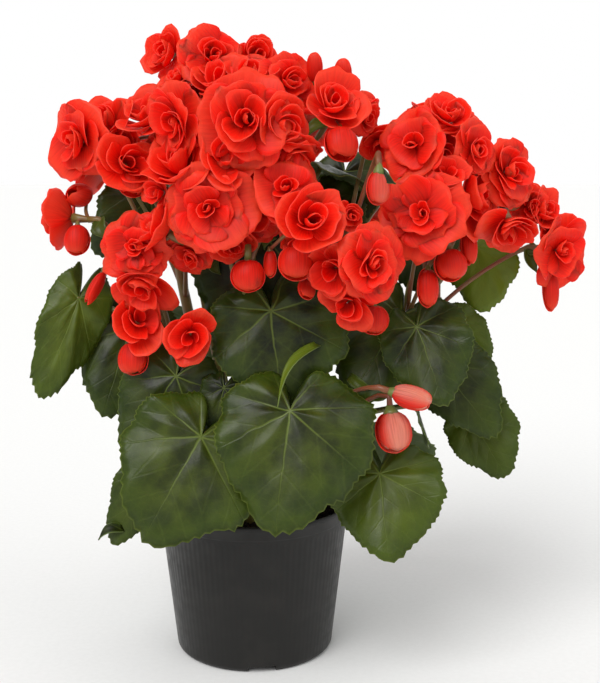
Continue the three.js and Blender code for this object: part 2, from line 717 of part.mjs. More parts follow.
function plant() {
  const random = seeded(5);
  const sprays = frontSprays.concat(backHeads(random)).map((row, i) => {
    const stem = row[row.length - 1];
    const heads = row.slice(0, -1).map((head) => (head.bud ? budHead(head) : bloomHead(head, random)));
    const kind = row.some((head) => head.form) ? 'bloom' : 'bud';
    return { name: `${kind}_${String(i + 1).padStart(2, '0')}`, stem, heads };
  });

  const leafRows = frontLeaves.map((row, i) => ({
    ...row,
    stalkEnd: placed(row.at, row.depth[0]),
    tip: placed(row.tip, row.depth[1]),
    droop: 0.1,
    seed: i,
  })).concat(backLeaves(random));
  const stands = Object.entries(stems).map(([name, place]) => {
    const path = stemCurve(place);
    const main = route(path, stemRadius, stemTopRadius, 5, 4);
    const blades = leafRows.filter((row) => row.stem === name).map(leaf);
    const carried = sprays.filter((spray) => spray.stem === name).map((spray) => spray.heads[0]);
    const petioles = blades.map(({ row }) => petiole(path, row));
    const stalks = petioles.concat(flowerStalks(path, carried));
    return { name, main, blades, stalks };
  });

  const group = new THREE.Group();
  const stalksOf = ({ main, stalks }) => [main.clear, ...stalks.map((one) => one.clear)];
  const standing = [];
  for (const stand of stands) {
    const others = stands.filter((other) => other !== stand);
    const cutters = others.flatMap(stalksOf).concat(standing);
    const blades = stand.blades.map((blade) => without(blade.solid, cutters));
    standing.push(...stand.blades.map((blade) => blade.clear));
    const solids = [stand.main.solid, ...stand.stalks.map((one) => one.solid), ...blades];
    const name = `stem_${stand.name.replace(/[A-Z]/, (letter) => `_${letter.toLowerCase()}`)}`;
    group.add(meshOf(name, largestBody(unionOf(solids)), material(0x3d5a26, 0.6)));
  }
  const cutters = stands.flatMap(stalksOf).concat(standing);
  const allHeads = sprays.flatMap((spray) => spray.heads);
  for (const spray of sprays) {
    const solids = spray.heads.map((head) => trimmed(head, allHeads.filter((other) => other !== head)));
    const links = spray.heads.slice(1).map((head) => link(spray.heads[0], head));
    const whole = without(largestBody(unionOf(solids.concat(links))), cutters);
    group.add(meshOf(spray.name, whole, material(0xe8331c, 0.5)));
  }
  const feet = stands.map(({ main }) => main.clear);
  group.add(meshOf('pot', pot(), material(0x2a2926, 0.55)));
  group.add(meshOf('soil', soil(feet), material(0x1d1712, 0.95)));
  return group;
}

export default plant();
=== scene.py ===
# Potted double begonia: red flower sprays, leafy stems, soil and a nursery pot.
import random
from functools import partial
from math import copysign, cos, exp, floor, hypot, pi, radians, sin, sqrt

import bmesh
import bpy
from mathutils import Matrix, Vector, geometry, noise


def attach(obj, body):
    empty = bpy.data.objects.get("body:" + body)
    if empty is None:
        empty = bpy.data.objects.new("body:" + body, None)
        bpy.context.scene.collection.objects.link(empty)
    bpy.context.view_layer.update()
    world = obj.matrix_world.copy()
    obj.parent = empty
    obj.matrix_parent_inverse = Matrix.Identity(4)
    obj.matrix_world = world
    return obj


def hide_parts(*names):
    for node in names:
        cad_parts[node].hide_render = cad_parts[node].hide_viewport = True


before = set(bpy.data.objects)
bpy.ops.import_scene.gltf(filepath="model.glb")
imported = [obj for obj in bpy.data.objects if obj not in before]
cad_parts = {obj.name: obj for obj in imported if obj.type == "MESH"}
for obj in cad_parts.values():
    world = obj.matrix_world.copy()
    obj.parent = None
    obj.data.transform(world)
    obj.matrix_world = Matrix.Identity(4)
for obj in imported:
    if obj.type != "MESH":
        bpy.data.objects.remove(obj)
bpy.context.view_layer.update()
mm = 0.001
up = Vector((0, 0, 1))

# the picture that the plant is laid out from, its focal length in pixels, the eye's place from the pot's
# middle in mm and the tilt down in degrees. Places in the picture become points of a depth plane.
view = {
    "width": 600, "height": 683, "focal": 1160,
    "distance": 700, "eyeHeight": 311.6, "aside": 28.7, "tilt": 9.6,
}
tilt = radians(view["tilt"])


def placed(x, y, depth):
    right = (x - view["width"] / 2) / view["focal"]
    rise = (view["height"] / 2 - y) / view["focal"]
    along = (depth + view["distance"]) / (cos(tilt) + rise * sin(tilt))
    height = view["eyeHeight"] + along * (rise * cos(tilt) - sin(tilt))
    return Vector((view["aside"] + right * along, depth, height))


def seen(point):
    # where a point falls in the picture
    away = point - Vector((view["aside"], -view["distance"], view["eyeHeight"]))
    depth = away.y * cos(tilt) - away.z * sin(tilt)
    rise = away.y * sin(tilt) + away.z * cos(tilt)
    return Vector((
        view["width"] / 2 + view["focal"] * away.x / depth,
        view["height"] / 2 - view["focal"] * rise / depth,
    ))


# the front of the flowers as a dome: middle and reach in the picture, and how near it comes in mm
canopy = {"middle": (300, 215), "reach": (300, 230), "near": 85}


def canopyDepth(x, y):
    across = (x - canopy["middle"][0]) / canopy["reach"][0]
    rise = (y - canopy["middle"][1]) / canopy["reach"][1]
    return -canopy["near"] * (1 - across * across - rise * rise)


def looking(right, rise):
    right, rise = radians(right), radians(rise)
    level = cos(rise)
    return Vector((sin(right) * level, -cos(right) * level, sin(rise)))


def lerp(low, high, share):
    return low + (high - low) * share


def smoothStep(low, high, value):
    share = min(max((value - low) / (high - low), 0), 1)
    return share * share * (3 - 2 * share)


def ripple(x, y, z):
    return noise.noise(Vector((x, y, z)))


# mesh helpers
def newMesh():
    bm = bmesh.new()
    bm.loops.layers.uv.new("flat")
    bm.loops.layers.float_color.new("tone")
    return bm


def warpedGrid(bm, across, along, place, paint, material=0):
    # a square grid, -1 to 1 both ways, moved by place and given its uv and tone by paint
    uvMap = bm.loops.layers.uv["flat"]
    tone = bm.loops.layers.float_color["tone"]
    verts = bmesh.ops.create_grid(bm, x_segments=across, y_segments=along, size=1)["verts"]
    flat = {vert: (vert.co.x, vert.co.y) for vert in verts}
    painted = {vert: paint(*flat[vert]) for vert in verts}
    for face in {face for vert in verts for face in vert.link_faces}:
        face.smooth = True
        face.material_index = material
        for loop in face.loops:
            loop[uvMap].uv, loop[tone] = painted[loop.vert]
    for vert in verts:
        vert.co = place(*flat[vert])
    return verts


def thicken(bm, thickness, back, rim):
    # the sheets get a back and a rim with finishes of their own
    bm.normal_update()
    front = set(bm.verts)
    bmesh.ops.solidify(bm, geom=bm.faces[:], thickness=thickness)
    for face in bm.faces:
        old = sum(vert in front for vert in face.verts)
        if old == 0:
            face.material_index = back
        elif old < len(face.verts):
            face.material_index = rim


def newData(name, bm):
    bmesh.ops.scale(bm, vec=(mm, mm, mm), verts=bm.verts[:])
    mesh = bpy.data.meshes.new(name)
    bm.to_mesh(mesh)
    bm.free()
    return mesh


def newObject(name, data):
    made = bpy.data.objects.new(name, data)
    bpy.context.scene.collection.objects.link(made)
    return made


def finishPiece(name, bm, materials, slot, *nodes):
    mesh = newData(name, bm)
    for material in materials:
        mesh.materials.append(material)
    piece = newObject(name, mesh)
    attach(piece, "root")
    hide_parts(*nodes)
    return piece


# curves and stalks
def smoothPath(points, perSpan=7):
    # centripetal curve through the points
    points = [2 * points[0] - points[1]] + points + [2 * points[-1] - points[-2]]
    path = []
    for a, b, c, d in zip(points, points[1:], points[2:], points[3:]):
        ab, bc, cd = (max((q - p).length, 1e-6) ** 0.5 for p, q in ((a, b), (b, c), (c, d)))
        leave = ((b - a) / ab - (c - a) / (ab + bc) + (c - b) / bc) * bc
        arrive = ((c - b) / bc - (d - b) / (bc + cd) + (d - c) / cd) * bc
        path += geometry.interpolate_bezier(b, b + leave / 3, c - arrive / 3, c, perSpan + 1)[:-1]
    return path + [points[-2]]


def pathPoint(path, share):
    lengths = [(q - p).length for p, q in zip(path, path[1:])]
    left = share * sum(lengths)
    for start, end, length in zip(path, path[1:], lengths):
        if left <= length:
            return start.lerp(end, left / length)
        left -= length
    return path[-1].copy()


def evenPath(path, steps):
    return [pathPoint(path, i / steps) for i in range(steps + 1)]


def addStalk(bm, path, startRadius, endRadius, sides, red, material, swell=0, blunt=0):
    # round tapering tube with closed ends, green to red along red = (start, end, random)
    steps = len(path) - 1
    tangents = [(path[min(i + 1, steps)] - path[max(i - 1, 0)]).normalized() for i in range(steps + 1)]
    side = tangents[0].orthogonal().normalized()
    frames = []
    for i, tangent in enumerate(tangents):
        if i:
            side = tangents[i - 1].rotation_difference(tangent) @ side
        frames.append((side.copy(), tangent.cross(side)))

    def place(a, b):
        ring = round((b + 1) / 2 * (steps + 2)) - 1
        at = min(max(ring, 0), steps)
        radius = lerp(startRadius, endRadius, at / steps) * (1 + swell * exp(-((at / 1.2) ** 2)))
        radius *= 1 - blunt * smoothStep(0.8, 1, at / steps)
        if ring != at:
            radius = 0
        x, y = frames[at]
        turn = pi * a
        return path[at] + (x * cos(turn) + y * sin(turn)) * radius

    def paint(a, b):
        share = (b + 1) / 2
        return ((a + 1) / 2, share), (lerp(red[0], red[1], share), red[2], 0, 1)

    verts = warpedGrid(bm, sides, steps + 2, place, paint, material)
    bmesh.ops.remove_doubles(bm, verts=verts, dist=1e-4)


# material helpers
def fill(tree, socket, value):
    if isinstance(value, bpy.types.NodeSocket):
        tree.links.new(value, socket)
    else:
        socket.default_value = value


def addNode(tree, kind, inputs, **settings):
    node = tree.nodes.new("ShaderNode" + kind)
    for name, value in settings.items():
        setattr(node, name, value)
    for key, value in inputs.items():
        fill(tree, node.inputs[key], value)
    return node


def calc(tree, operation, first, second=0, third=0):
    return addNode(tree, "Math", {0: first, 1: second, 2: third}, operation=operation).outputs[0]


def times(tree, first, second):
    return calc(tree, "MULTIPLY", first, second)


def timesPlus(tree, first, second, third):
    return calc(tree, "MULTIPLY_ADD", first, second, third)


def ranged(tree, value, low, high, toLow=0, toHigh=1):
    inputs = {0: value, 1: low, 2: high, 3: toLow, 4: toHigh}
    return addNode(tree, "MapRange", inputs, interpolation_type="SMOOTHSTEP").outputs[0]


def mixed(tree, share, first, second, blend="MIX"):
    inputs = {0: share, 6: first, 7: second}
    return addNode(tree, "Mix", inputs, data_type="RGBA", blend_type=blend).outputs[2]


def noisy(tree, vector, scale, detail=2, roughness=0.5):
    inputs = {"Vector": vector, "Scale": scale, "Detail": detail, "Roughness": roughness}
    return addNode(tree, "TexNoise", inputs).outputs[0]


def dress(tree, shader, colour, height, strength, distance):
    # the colour of a finish and its fine relief
    inputs = {"Strength": strength, "Distance": distance, "Height": height}
    fill(tree, shader["Base Color"], colour)
    fill(tree, shader["Normal"], addNode(tree, "Bump", inputs).outputs[0])


def vectorOf(tree, x, y, z):
    return addNode(tree, "CombineXYZ", {0: x, 1: y, 2: z}).outputs[0]


def newMaterial(name, **plain):
    material = bpy.data.materials.new(name)
    material.use_nodes = True
    tree = material.node_tree
    shader = tree.nodes["Principled BSDF"]
    for key, value in plain.items():
        shader.inputs[key.replace("_", " ")].default_value = value
    return material, tree, shader.inputs


def newGroup(name, inputs, outputs):
    group = bpy.data.node_groups.new(name, "ShaderNodeTree")
    for way, sockets in (("INPUT", inputs), ("OUTPUT", outputs)):
        for label, kind in sockets:
            group.interface.new_socket(name=label, in_out=way, socket_type="NodeSocket" + kind)
    return group, group.nodes.new("NodeGroupInput").outputs, group.nodes.new("NodeGroupOutput").inputs


def useGroup(tree, group, inputs):
    node = addNode(tree, "Group", {}, node_tree=group)
    for key, value in inputs.items():
        fill(tree, node.inputs[key], value)
    return node.outputs


def spotOf(tree):
    return addNode(tree, "TexCoord", {}).outputs["Object"]


def toneOf(tree):
    tone = addNode(tree, "Attribute", {}, attribute_name="tone").outputs["Color"]
    return addNode(tree, "SeparateColor", {0: tone}).outputs


def flatOf(tree):
    uv = addNode(tree, "UVMap", {}, uv_map="flat").outputs[0]
    return uv, addNode(tree, "SeparateXYZ", {0: uv}).outputs


# shader groups
def streakGroup():
    # fine veins that run along a petal or stalk, from its uv
    inputs = [(label, "Float") for label in ("Across", "Along", "Seed", "Count")]
    group, given, out = newGroup("streaks", inputs, [("Streak", "Float")])
    across = times(group, given["Across"], given["Count"])
    along = times(group, given["Along"], 1.7)
    seed = times(group, given["Seed"], 37)
    wavy = noisy(group, vectorOf(group, across, along, seed), 1, 3)
    group.links.new(ranged(group, wavy, 0.32, 0.68), out["Streak"])
    return group


def leafVeinGroup():
    # veins that spread like a hand from the stalk's end, side veins and a fine net, from the leaf's uv
    outputs = [(label, "Float") for label in ("Main", "Side", "Net")]
    group, given, out = newGroup("leafVeins", [("Flat", "Vector"), ("Seed", "Float")], outputs)
    count = leafSpec["veins"]
    seed = times(group, given["Seed"], 29)
    parts = addNode(group, "SeparateXYZ", {0: given["Flat"]}).outputs
    shift = calc(group, "SUBTRACT", noisy(group, vectorOf(group, parts[0], parts[1], seed), 7), 0.5)
    x, y = (timesPlus(group, part, 2, timesPlus(group, shift, 0.05, -1)) for part in parts[:2])
    radius = calc(group, "SQRT", timesPlus(group, x, x, times(group, y, y)))
    turn = times(group, calc(group, "ARCTAN2", x, y), count / (2 * pi))
    off = calc(group, "SUBTRACT", turn, calc(group, "ROUND", turn))
    angle = times(group, calc(group, "ABSOLUTE", off), 2 * pi / count)
    lateral = times(group, calc(group, "SINE", angle), radius)
    along = times(group, calc(group, "COSINE", angle), radius)
    width = timesPlus(group, radius, -0.009, 0.014)
    main = ranged(group, calc(group, "DIVIDE", lateral, width), 0.25, 1, 1, 0)
    wave = calc(group, "PINGPONG", times(group, timesPlus(group, lateral, -1.15, along), 7.5), 1)
    side = times(group, ranged(group, wave, 0.02, 0.16, 1, 0), ranged(group, radius, 0.15, 0.3))
    inputs = {"Vector": vectorOf(group, x, y, seed), "Scale": 15}
    cells = addNode(group, "TexVoronoi", inputs, feature="DISTANCE_TO_EDGE").outputs[0]
    net = ranged(group, cells, 0, 0.12, 1, 0)
    for label, value in (("Main", main), ("Side", side), ("Net", net)):
        group.links.new(value, out[label])
    return group


# petals and blooms
petalSpec = {
    "thickness": 0.3,
    # painted shade: heart is the deep red put on the inner whorls and the petals' feet, where the bloom's
    # middle lies in shade
    "heart": (0.47, 0.003, 0.002, 1),
    "blade": (0.95, 0.013, 0.004, 1),
    # painted highlight: edge is the lighter red put on the tips of the outer whorls; the rims also take it at
    # random
    "edge": (1, 0.05, 0.019, 1),
    "back": (0.7, 0.046, 0.018, 1),
    "pale": (0.92, 0.38, 0.27, 1),
    "rim": (0.84, 0.024, 0.01, 1),
    "streak": (0.42, 0.004, 0.003, 1),
    "footRound": 0.6,
    "streaks": 30,
}


def petals(*values, **more):
    names = ("count", "opening", "bend", "length", "ruffle", "root", "lift", "loose")
    return dict(zip(names, values), **more)


# kinds of bloom, whorl by whorl from the outside in: count, opening at the foot and bend on to the tip in
# degrees, length as a share of the bloom, ruffle, foot radius and lift in mm, and looseness in degrees.
# A free petal then has its half width and cup, and one that wraps the heart has the degrees it covers.
forms = {
    "full": [
        petals(4, 77, 8, 1, 0.15, 1.2, 0, 10, width=0.78, cup=0.3),
        petals(4, 64, 10, 0.84, 0.15, 0.9, 0.8, 12, width=0.6, cup=0.42),
        petals(3, 70, -52, 0.74, 0.14, 0.8, 1.4, 9, cover=68),
        petals(3, 66, -80, 0.6, 0.11, 0.5, 1.8, 8, cover=76),
        petals(2, 62, -108, 0.5, 0.07, 0.3, 2, 6, cover=100),
    ],
    "broad": [
        petals(5, 80, 8, 1, 0.13, 1.2, 0, 9, width=0.66, cup=0.24),
        petals(4, 73, 6, 0.78, 0.15, 0.9, 0.8, 9, width=0.6, cup=0.34),
        petals(4, 64, 6, 0.54, 0.16, 1.2, 1.6, 12, width=0.42, cup=0.45),
        petals(3, 70, -70, 0.36, 0.12, 0.6, 2.4, 10, cover=72),
        petals(2, 62, -108, 0.28, 0.06, 0.3, 2.6, 6, cover=96),
    ],
    "wide": [
        petals(4, 76, 6, 1, 0.15, 1.2, 0, 12, width=0.86, cup=0.34),
        petals(3, 60, 6, 0.76, 0.14, 0.8, 1, 12, width=0.66, cup=0.5),
        petals(3, 66, -72, 0.52, 0.11, 0.5, 1.6, 9, cover=76),
        petals(2, 62, -104, 0.42, 0.06, 0.3, 1.9, 6, cover=100),
    ],
    "cupped": [
        petals(3, 82, -48, 1.1, 0.1, 1.2, 0, 7, cover=74),
        petals(3, 74, -56, 0.9, 0.1, 0.8, 0.8, 8, cover=72),
        petals(3, 68, -78, 0.72, 0.08, 0.8, 1.4, 8, cover=78),
        petals(2, 62, -104, 0.62, 0.06, 0.4, 1.7, 6, cover=100),
    ],
    "tube": [
        petals(3, 72, -36, 1.25, 0.12, 0.9, 0, 8, cover=74),
        petals(2, 60, -42, 1.05, 0.1, 0.8, 0.8, 8, cover=96),
        petals(2, 52, -66, 0.8, 0.07, 0.4, 1.2, 8, cover=90),
    ],
}


def rounded(a, b, foot):
    # a place on the square grid, as across and along on a sheet with round corners
    x = a * sqrt(1 - 0.5 * b * b * (1 if b > 0 else foot))
    return x, 0.5 + 0.5 * b * sqrt(1 - 0.5 * a * a)


def addPetal(bm, stand, fold, whorl, length, shade, pale, rng):
    vary = rng.uniform
    loose = whorl["loose"]
    opening = radians(whorl["opening"] + vary(-loose, loose))
    bend = radians(whorl["bend"] + vary(-loose, loose)) or 0.01
    length *= vary(0.84, 1.08)
    width = whorl["halfWidth"] * vary(0.92, 1.08)
    cup = whorl.get("cup", 1) * vary(0.8, 1.2)
    cover = radians(whorl.get("cover", 0)) * vary(0.9, 1.08)
    spiral = vary(0.13, 0.24)
    roll = vary(-0.02, 0.02) * loose
    seed = vary(0, 90)
    ruffle = whorl["ruffle"] * vary(0.7, 1.5)
    turned = Matrix.Rotation(whorl["azimuth"], 4, "Z")
    notch = vary(-0.5, 0.5)

    def place(a, b):
        x, s = rounded(a, b, petalSpec["footRound"])
        edge = max(abs(a), abs(b))
        s *= 1 + (0.13 * ripple(x * 2.4, s * 2.4, seed) + 0.05 * ripple(x * 8, s * 3, seed)) * edge
        s *= 1 - 0.07 * exp(-((x - notch) ** 2) / 0.02) * smoothStep(0.5, 1, b)
        angle = opening + bend * s
        radial = whorl["root"] + length * (cos(opening) - cos(angle)) / bend
        height = whorl["lift"] + length * (sin(angle) - sin(opening)) / bend
        waves = 0.6 * sin(4.2 * x + seed) * abs(x) + 1.5 * ripple(x * 1.2, s * 1.2, seed + 9)
        lift = ruffle * length * s * s * waves - 0.1 * length * s ** 4
        if cover:  # wraps round the heart, one side tucked under the next petal
            radial = (radial - lift * cos(angle)) * (1 + spiral * x)
            point = Vector((radial * cos(x * cover), -radial * sin(x * cover), height + lift * sin(angle)))
            return stand @ fold @ turned @ point
        half = width * (0.66 + 0.34 * smoothStep(0, 0.5, s))
        wrap = cup * (0.5 + 0.5 * smoothStep(0, 0.5, s))
        lateral = half / wrap * sin(x * wrap)
        lift += half / wrap * (1 - cos(x * wrap)) + roll * x * half
        return stand @ turned @ Vector((radial - lift * cos(angle), -lateral, height + lift * sin(angle)))

    def paint(a, b):
        x, s = rounded(a, b, petalSpec["footRound"])
        return ((x + 1) / 2, s), (shade, seed / 90, pale, 1)

    warpedGrid(bm, *whorl["mesh"], place, paint)


def addBloom(bm, head, rng):
    form = forms[head["form"]]
    first = form[0]
    opening, bend = radians(first["opening"]), radians(first["bend"])
    reach = (cos(opening) - cos(opening + bend)) / bend
    size = (head.get("size", 1.1 * head["reach"]) - first["root"]) / reach
    spin = rng.uniform(0, 2 * pi)
    spread = rng.uniform(-5, 5)
    squeezed = Matrix.Rotation(spin, 4, "Z")  # the heart is pressed a little flat
    fold = squeezed @ Matrix.Diagonal((rng.uniform(0.72, 0.95), 1, 1, 1)) @ squeezed.inverted()
    for i, row in enumerate(form):
        whorl = dict(row, opening=row["opening"] + spread, halfWidth=row.get("width", 0) * size)
        whorl["mesh"] = (12, 8) if i < 2 else (8, 6)
        lean = [Matrix.Rotation(0.1 * min(i, 2) * rng.uniform(-1, 1), 4, axis) for axis in "XY"]
        stand = head["stand"] @ (lean[0] @ lean[1])
        # tone for painted shade: 1 on the outer whorl down to 0 on the innermost, which the petal finish
        # paints darker
        shade = 1 - i / (len(form) - 1)
        for k in range(whorl["count"]):
            turn = k + rng.uniform(-0.02, 0.02) * whorl["loose"]
            whorl["azimuth"] = spin + i * 0.75 + turn * 2 * pi / whorl["count"]
            addPetal(bm, stand, fold, whorl, whorl["length"] * size, shade, head.get("pale", 0), rng)


budSpec = {
    "flatness": 0.82,
    "footRound": 0.3,
    # broad outer valves, then the tips of two more between them: turn, size and half the angle covered
    "valves": ((0, 1, 1.5), (pi, 0.94, 1.55), (1.5, 0.87, 1.2), (1.5 + pi, 0.85, 1.2)),
}


def addBud(bm, head, rng):
    reach, long = head["reach"], head["long"]
    stand = head["stand"] @ Matrix.Rotation(rng.uniform(-0.4, 0.4) + head.get("spin", 0), 4, "Z")
    for i, (turn, grow, cover) in enumerate(budSpec["valves"]):
        inner = i > 1
        seed = rng.uniform(0, 90)

        def place(a, b):
            x, s = rounded(a, b, budSpec["footRound"])
            level = radians(lerp(-88, 80 - 6 * i, s))
            around = turn + x * cover
            bulge = grow * (1 + 0.07 * ripple(x, s * 2, seed) + (0 if inner else 0.02 * x ** 4))
            narrow = cos(level) ** 0.8
            return stand @ Vector((
                reach * sin(around) * narrow * bulge,
                -reach * budSpec["flatness"] * cos(around) * narrow * bulge,
                long * sin(level) * bulge,
            ))

        def paint(a, b):
            x, s = rounded(a, b, budSpec["footRound"])
            # painted shade: the inner valves get a lower tone, which the petal finish paints darker
            return ((x + 1) / 2, s), (0.5 if inner else 0.8, seed / 90, head.get("pale", 0), 1)

        warpedGrid(bm, 10, 9, place, paint)


def petalFinishes(streaks):
    skins = []
    for name, roughness in (("petalFace", 0.5), ("petalBack", 0.55)):
        material, tree, shader = newMaterial(
            name, Roughness=roughness, Subsurface_Weight=0.7, Subsurface_Radius=(1, 0.2, 0.1),
            Subsurface_Scale=0.003, Specular_IOR_Level=0.16,
        )
        _, uv = flatOf(tree)
        whorl, seed, pale = toneOf(tree)[:3]
        inputs = {"Across": uv[0], "Along": uv[1], "Seed": seed, "Count": petalSpec["streaks"]}
        streak = useGroup(tree, streaks, inputs)[0]
        # painted shade: the tone and the place along the petal darken it to the deep heart red towards the
        # bloom's middle and the petal's foot
        out = timesPlus(tree, whorl, 0.35, times(tree, uv[1], 0.8))
        base = mixed(tree, ranged(tree, out, 0.05, 0.75), petalSpec["heart"], petalSpec["blade"])
        # painted highlight: lighter red towards the tips of the outer whorls
        base = mixed(tree, ranged(tree, out, 0.7, 1.15), base, petalSpec["edge"])
        middle = calc(tree, "ABSOLUTE", timesPlus(tree, uv[0], 2, -1))
        if name == "petalBack":
            share = times(tree, ranged(tree, middle, 0.2, 0.95, 1, 0), 0.8)
            base = mixed(tree, share, base, petalSpec["back"])
        share = times(tree, ranged(tree, middle, 0.1, 0.8, 1, 0.05), pale)
        base = mixed(tree, share, base, petalSpec["pale"])
        share = times(tree, streak, ranged(tree, uv[1], 0.2, 0.9, 0.45, 0.14))
        dress(tree, shader, mixed(tree, share, base, petalSpec["streak"]), streak, 0.25, 0.0002)
        skins.append(material)
    material, tree, shader = newMaterial(
        "petalRim", Roughness=0.5, Subsurface_Weight=0.3, Subsurface_Scale=0.001
    )
    fill(tree, shader["Base Color"], mixed(tree, toneOf(tree)[1], petalSpec["rim"], petalSpec["edge"]))
    return skins + [material]


def newHead(form, *values, **more):
    return dict(zip(("x", "y", "span", "right", "rise", "near"), values), form=form, **more)


full, broad, wide, cupped, tube, bud = (partial(newHead, form) for form in [*forms, "bud"])

# sprays by stem and by the number of the solid that they replace: heads with their place and half span in the
# picture, how far they look right and up in degrees, and how much nearer than the canopy they stand. A bud
# has a half width and a half height for its span.
sprayRows = {
    "upperLeft": {
        1: [cupped(167, 53, 21, -44, 10, -4), full(180, 82, 20, -35, 55, 0)],
        6: [full(178, 121, 27, -35, -5, 8, grow=1.25)],
        9: [
            cupped(180, 166, 27, -20, 50, 2, grow=1.3), full(158, 150, 22, -60, 20, -16),
            tube(160, 192, 14, -50, 0, -4),
        ],
        17: [cupped(106, 123, 25, -34, 34, -4, grow=1.15), full(80, 142, 34, -42, -4, 6)],
        18: [cupped(148, 115, 25, -20, 46, 0, grow=1.1), full(122, 145, 20, -10, 0, -18)],
    },
    "crown": {
        2: [full(213, 59, 29, 8, 24, 6)],
        3: [cupped(250, 78, 24, -10, 56, 4, grow=1.2), cupped(257, 55, 18, 20, 15, 0)],
        4: [full(286, 84, 27, 35, 15, 0)],
        5: [cupped(218, 84, 22, -10, 56, 8, grow=1.3), full(196, 96, 22, -30, 20, -14)],
        7: [full(246, 121, 34, 4, 2, 16, grow=1.2), cupped(203, 127, 24, -64, 4, 4)],
        8: [cupped(285, 126, 23, 30, -10, 10), full(290, 153, 24, 20, -50, -8, grow=1.25)],
        13: [
            cupped(336, 104, 27, 20, 34, 0), full(363, 116, 21, 45, -15, -14),
            bud(342, 144, (18, 18), 10, -60, 0), bud(315, 67, (8, 15), 0, 80, 2),
            bud(343, 74, (9, 16), 12, 78, -2),
        ],
    },
    "front": {
        10: [tube(226, 161, 22, 10, 20, 8), full(246, 187, 22, 50, -40, -16)],
        11: [wide(287, 184, 31, 4, 28, 4, grow=1.08)],
        15: [
            broad(207, 209, 42, -4, 6, 16), full(190, 252, 22, 0, -30, -12),
            cupped(232, 244, 20, 15, -30, -6),
        ],
        16: [full(257, 214, 18, 5, -10, -14, grow=1.5)],
        24: [tube(190, 335, 20, 0, -2, 14)],
        35: [bud(248, 276, (17, 17), 0, -80, 4)],
    },
    "middle": {
        12: [
            cupped(311, 219, 31, 14, 12, 20), bud(296, 263, (18, 18), 0, -70, 4),
            bud(307, 289, (10, 11), 10, -60, -4), bud(270, 264, (7, 14), 0, -80, -4),
            cupped(350, 216, 12, 20, 0, -8), full(300, 243, 18, 0, -20, -8),
        ],
        14: [tube(379, 143, 16, 10, -30, -30)],
        25: [full(370, 264, 33, 22, 0, 22)],
        26: [
            tube(333, 270, 20, -25, -15, 10), tube(349, 303, 18, -10, -20, 12),
            bud(374, 320, (16, 15), 0, -75, 6),
        ],
        36: [bud(379, 188, (13, 17), 0, -80, 16, pale=0.2)],
        38: [bud(412, 398, (14, 21), 75, -14, 60, spin=-1.15, start=0.5, pale=0.55)],
        39: [bud(394, 432, (20, 22), 24, -68, 70, spin=0.5, start=0.42, pale=0.55, knob=5)],
    },
    "left": {
        19: [cupped(129, 163, 27, 25, 10, 4), bud(132, 184, (15, 13), 0, -60, -4)],
        20: [
            cupped(61, 217, 26, -104, 4, -4), bud(79, 195, (14, 13), -30, 20, -14),
            bud(77, 240, (13, 16), 0, -70, 0),
        ],
        21: [broad(133, 249, 33, -10, 4, 10), cupped(158, 226, 26, -70, 35, 2)],
        22: [cupped(141, 288, 27, -4, -36, 8, grow=0.95)],
        23: [tube(138, 322, 21, 12, 20, 12), bud(133, 359, (17, 17), 0, -75, 26)],
        34: [bud(95, 288, (8, 19), -50, -55, 4)],
    },
    "right": {
        27: [broad(420, 213, 41, -12, 6, 14), full(402, 224, 15, -15, -25, -12)],
        28: [wide(412, 143, 28, -22, 12, 6, grow=1.14), full(441, 152, 23, 16, -14, -18)],
        29: [cupped(451, 115, 23, 6, 48, -6), full(474, 150, 25, 40, 4, 4, grow=1.05)],
        30: [
            cupped(475, 197, 26, 58, 10, -2, grow=1.2), tube(444, 177, 17, 0, 35, 6),
            full(470, 215, 20, 10, -20, -14),
        ],
        31: [full(507, 173, 31, 36, 8, 0), cupped(545, 213, 20, 46, 22, -6)],
        32: [cupped(511, 230, 26, 14, -46, 12), full(528, 205, 20, 15, 0, -12)],
        33: [wide(566, 252, 32, 34, -2, 6), bud(551, 291, (9, 21), 10, -80, 0)],
        37: [
            bud(451, 265, (18, 17), 20, -70, 4), bud(469, 247, (10, 19), 10, -75, -2),
            bud(428, 288, (12, 20), 0, -80, 2),
        ],
    },
}
sprays = {number: (stem, heads) for stem, rows in sprayRows.items() for number, heads in rows.items()}

# the unseen back: one bloom a spray, spread over the dome behind
dome = {
    "count": 9, "firstNumber": 40, "span": (12, 168), "rises": (18, 45, 32), "reach": 21,
    "middle": (28, -4, 238), "across": (150, 78, 118),
}


def backSprays():
    for i in range(dome["count"]):
        around = radians(lerp(*dome["span"], (i + 0.5) / dome["count"]))
        rise = radians(dome["rises"][i % 3])
        out = Vector((cos(around) * cos(rise), sin(around) * cos(rise), sin(rise)))
        centre = Vector(m + o * a for m, o, a in zip(dome["middle"], out, dome["across"]))
        facing = Vector((out.x, out.y, out.z + 0.1)).normalized()
        form = cupped if i % 4 == 3 else full
        head = form(centre=centre, reach=dome["reach"], facing=facing)
        sprays[dome["firstNumber"] + i] = (nearestStem(centre), [head])


# a bloom's reach and size for its half span, its depth for the reach beyond the rim, and how far behind its
# centre the heart and the seat are: shares of the depth, and the ovary's length in mm
headSpec = {
    "reach": 1.16, "grow": 1.03, "rim": 3, "depth": 1.755, "fullDepth": 0.5156,
    "heart": 0.26, "seat": 0.5, "ovary": 4.3,
}


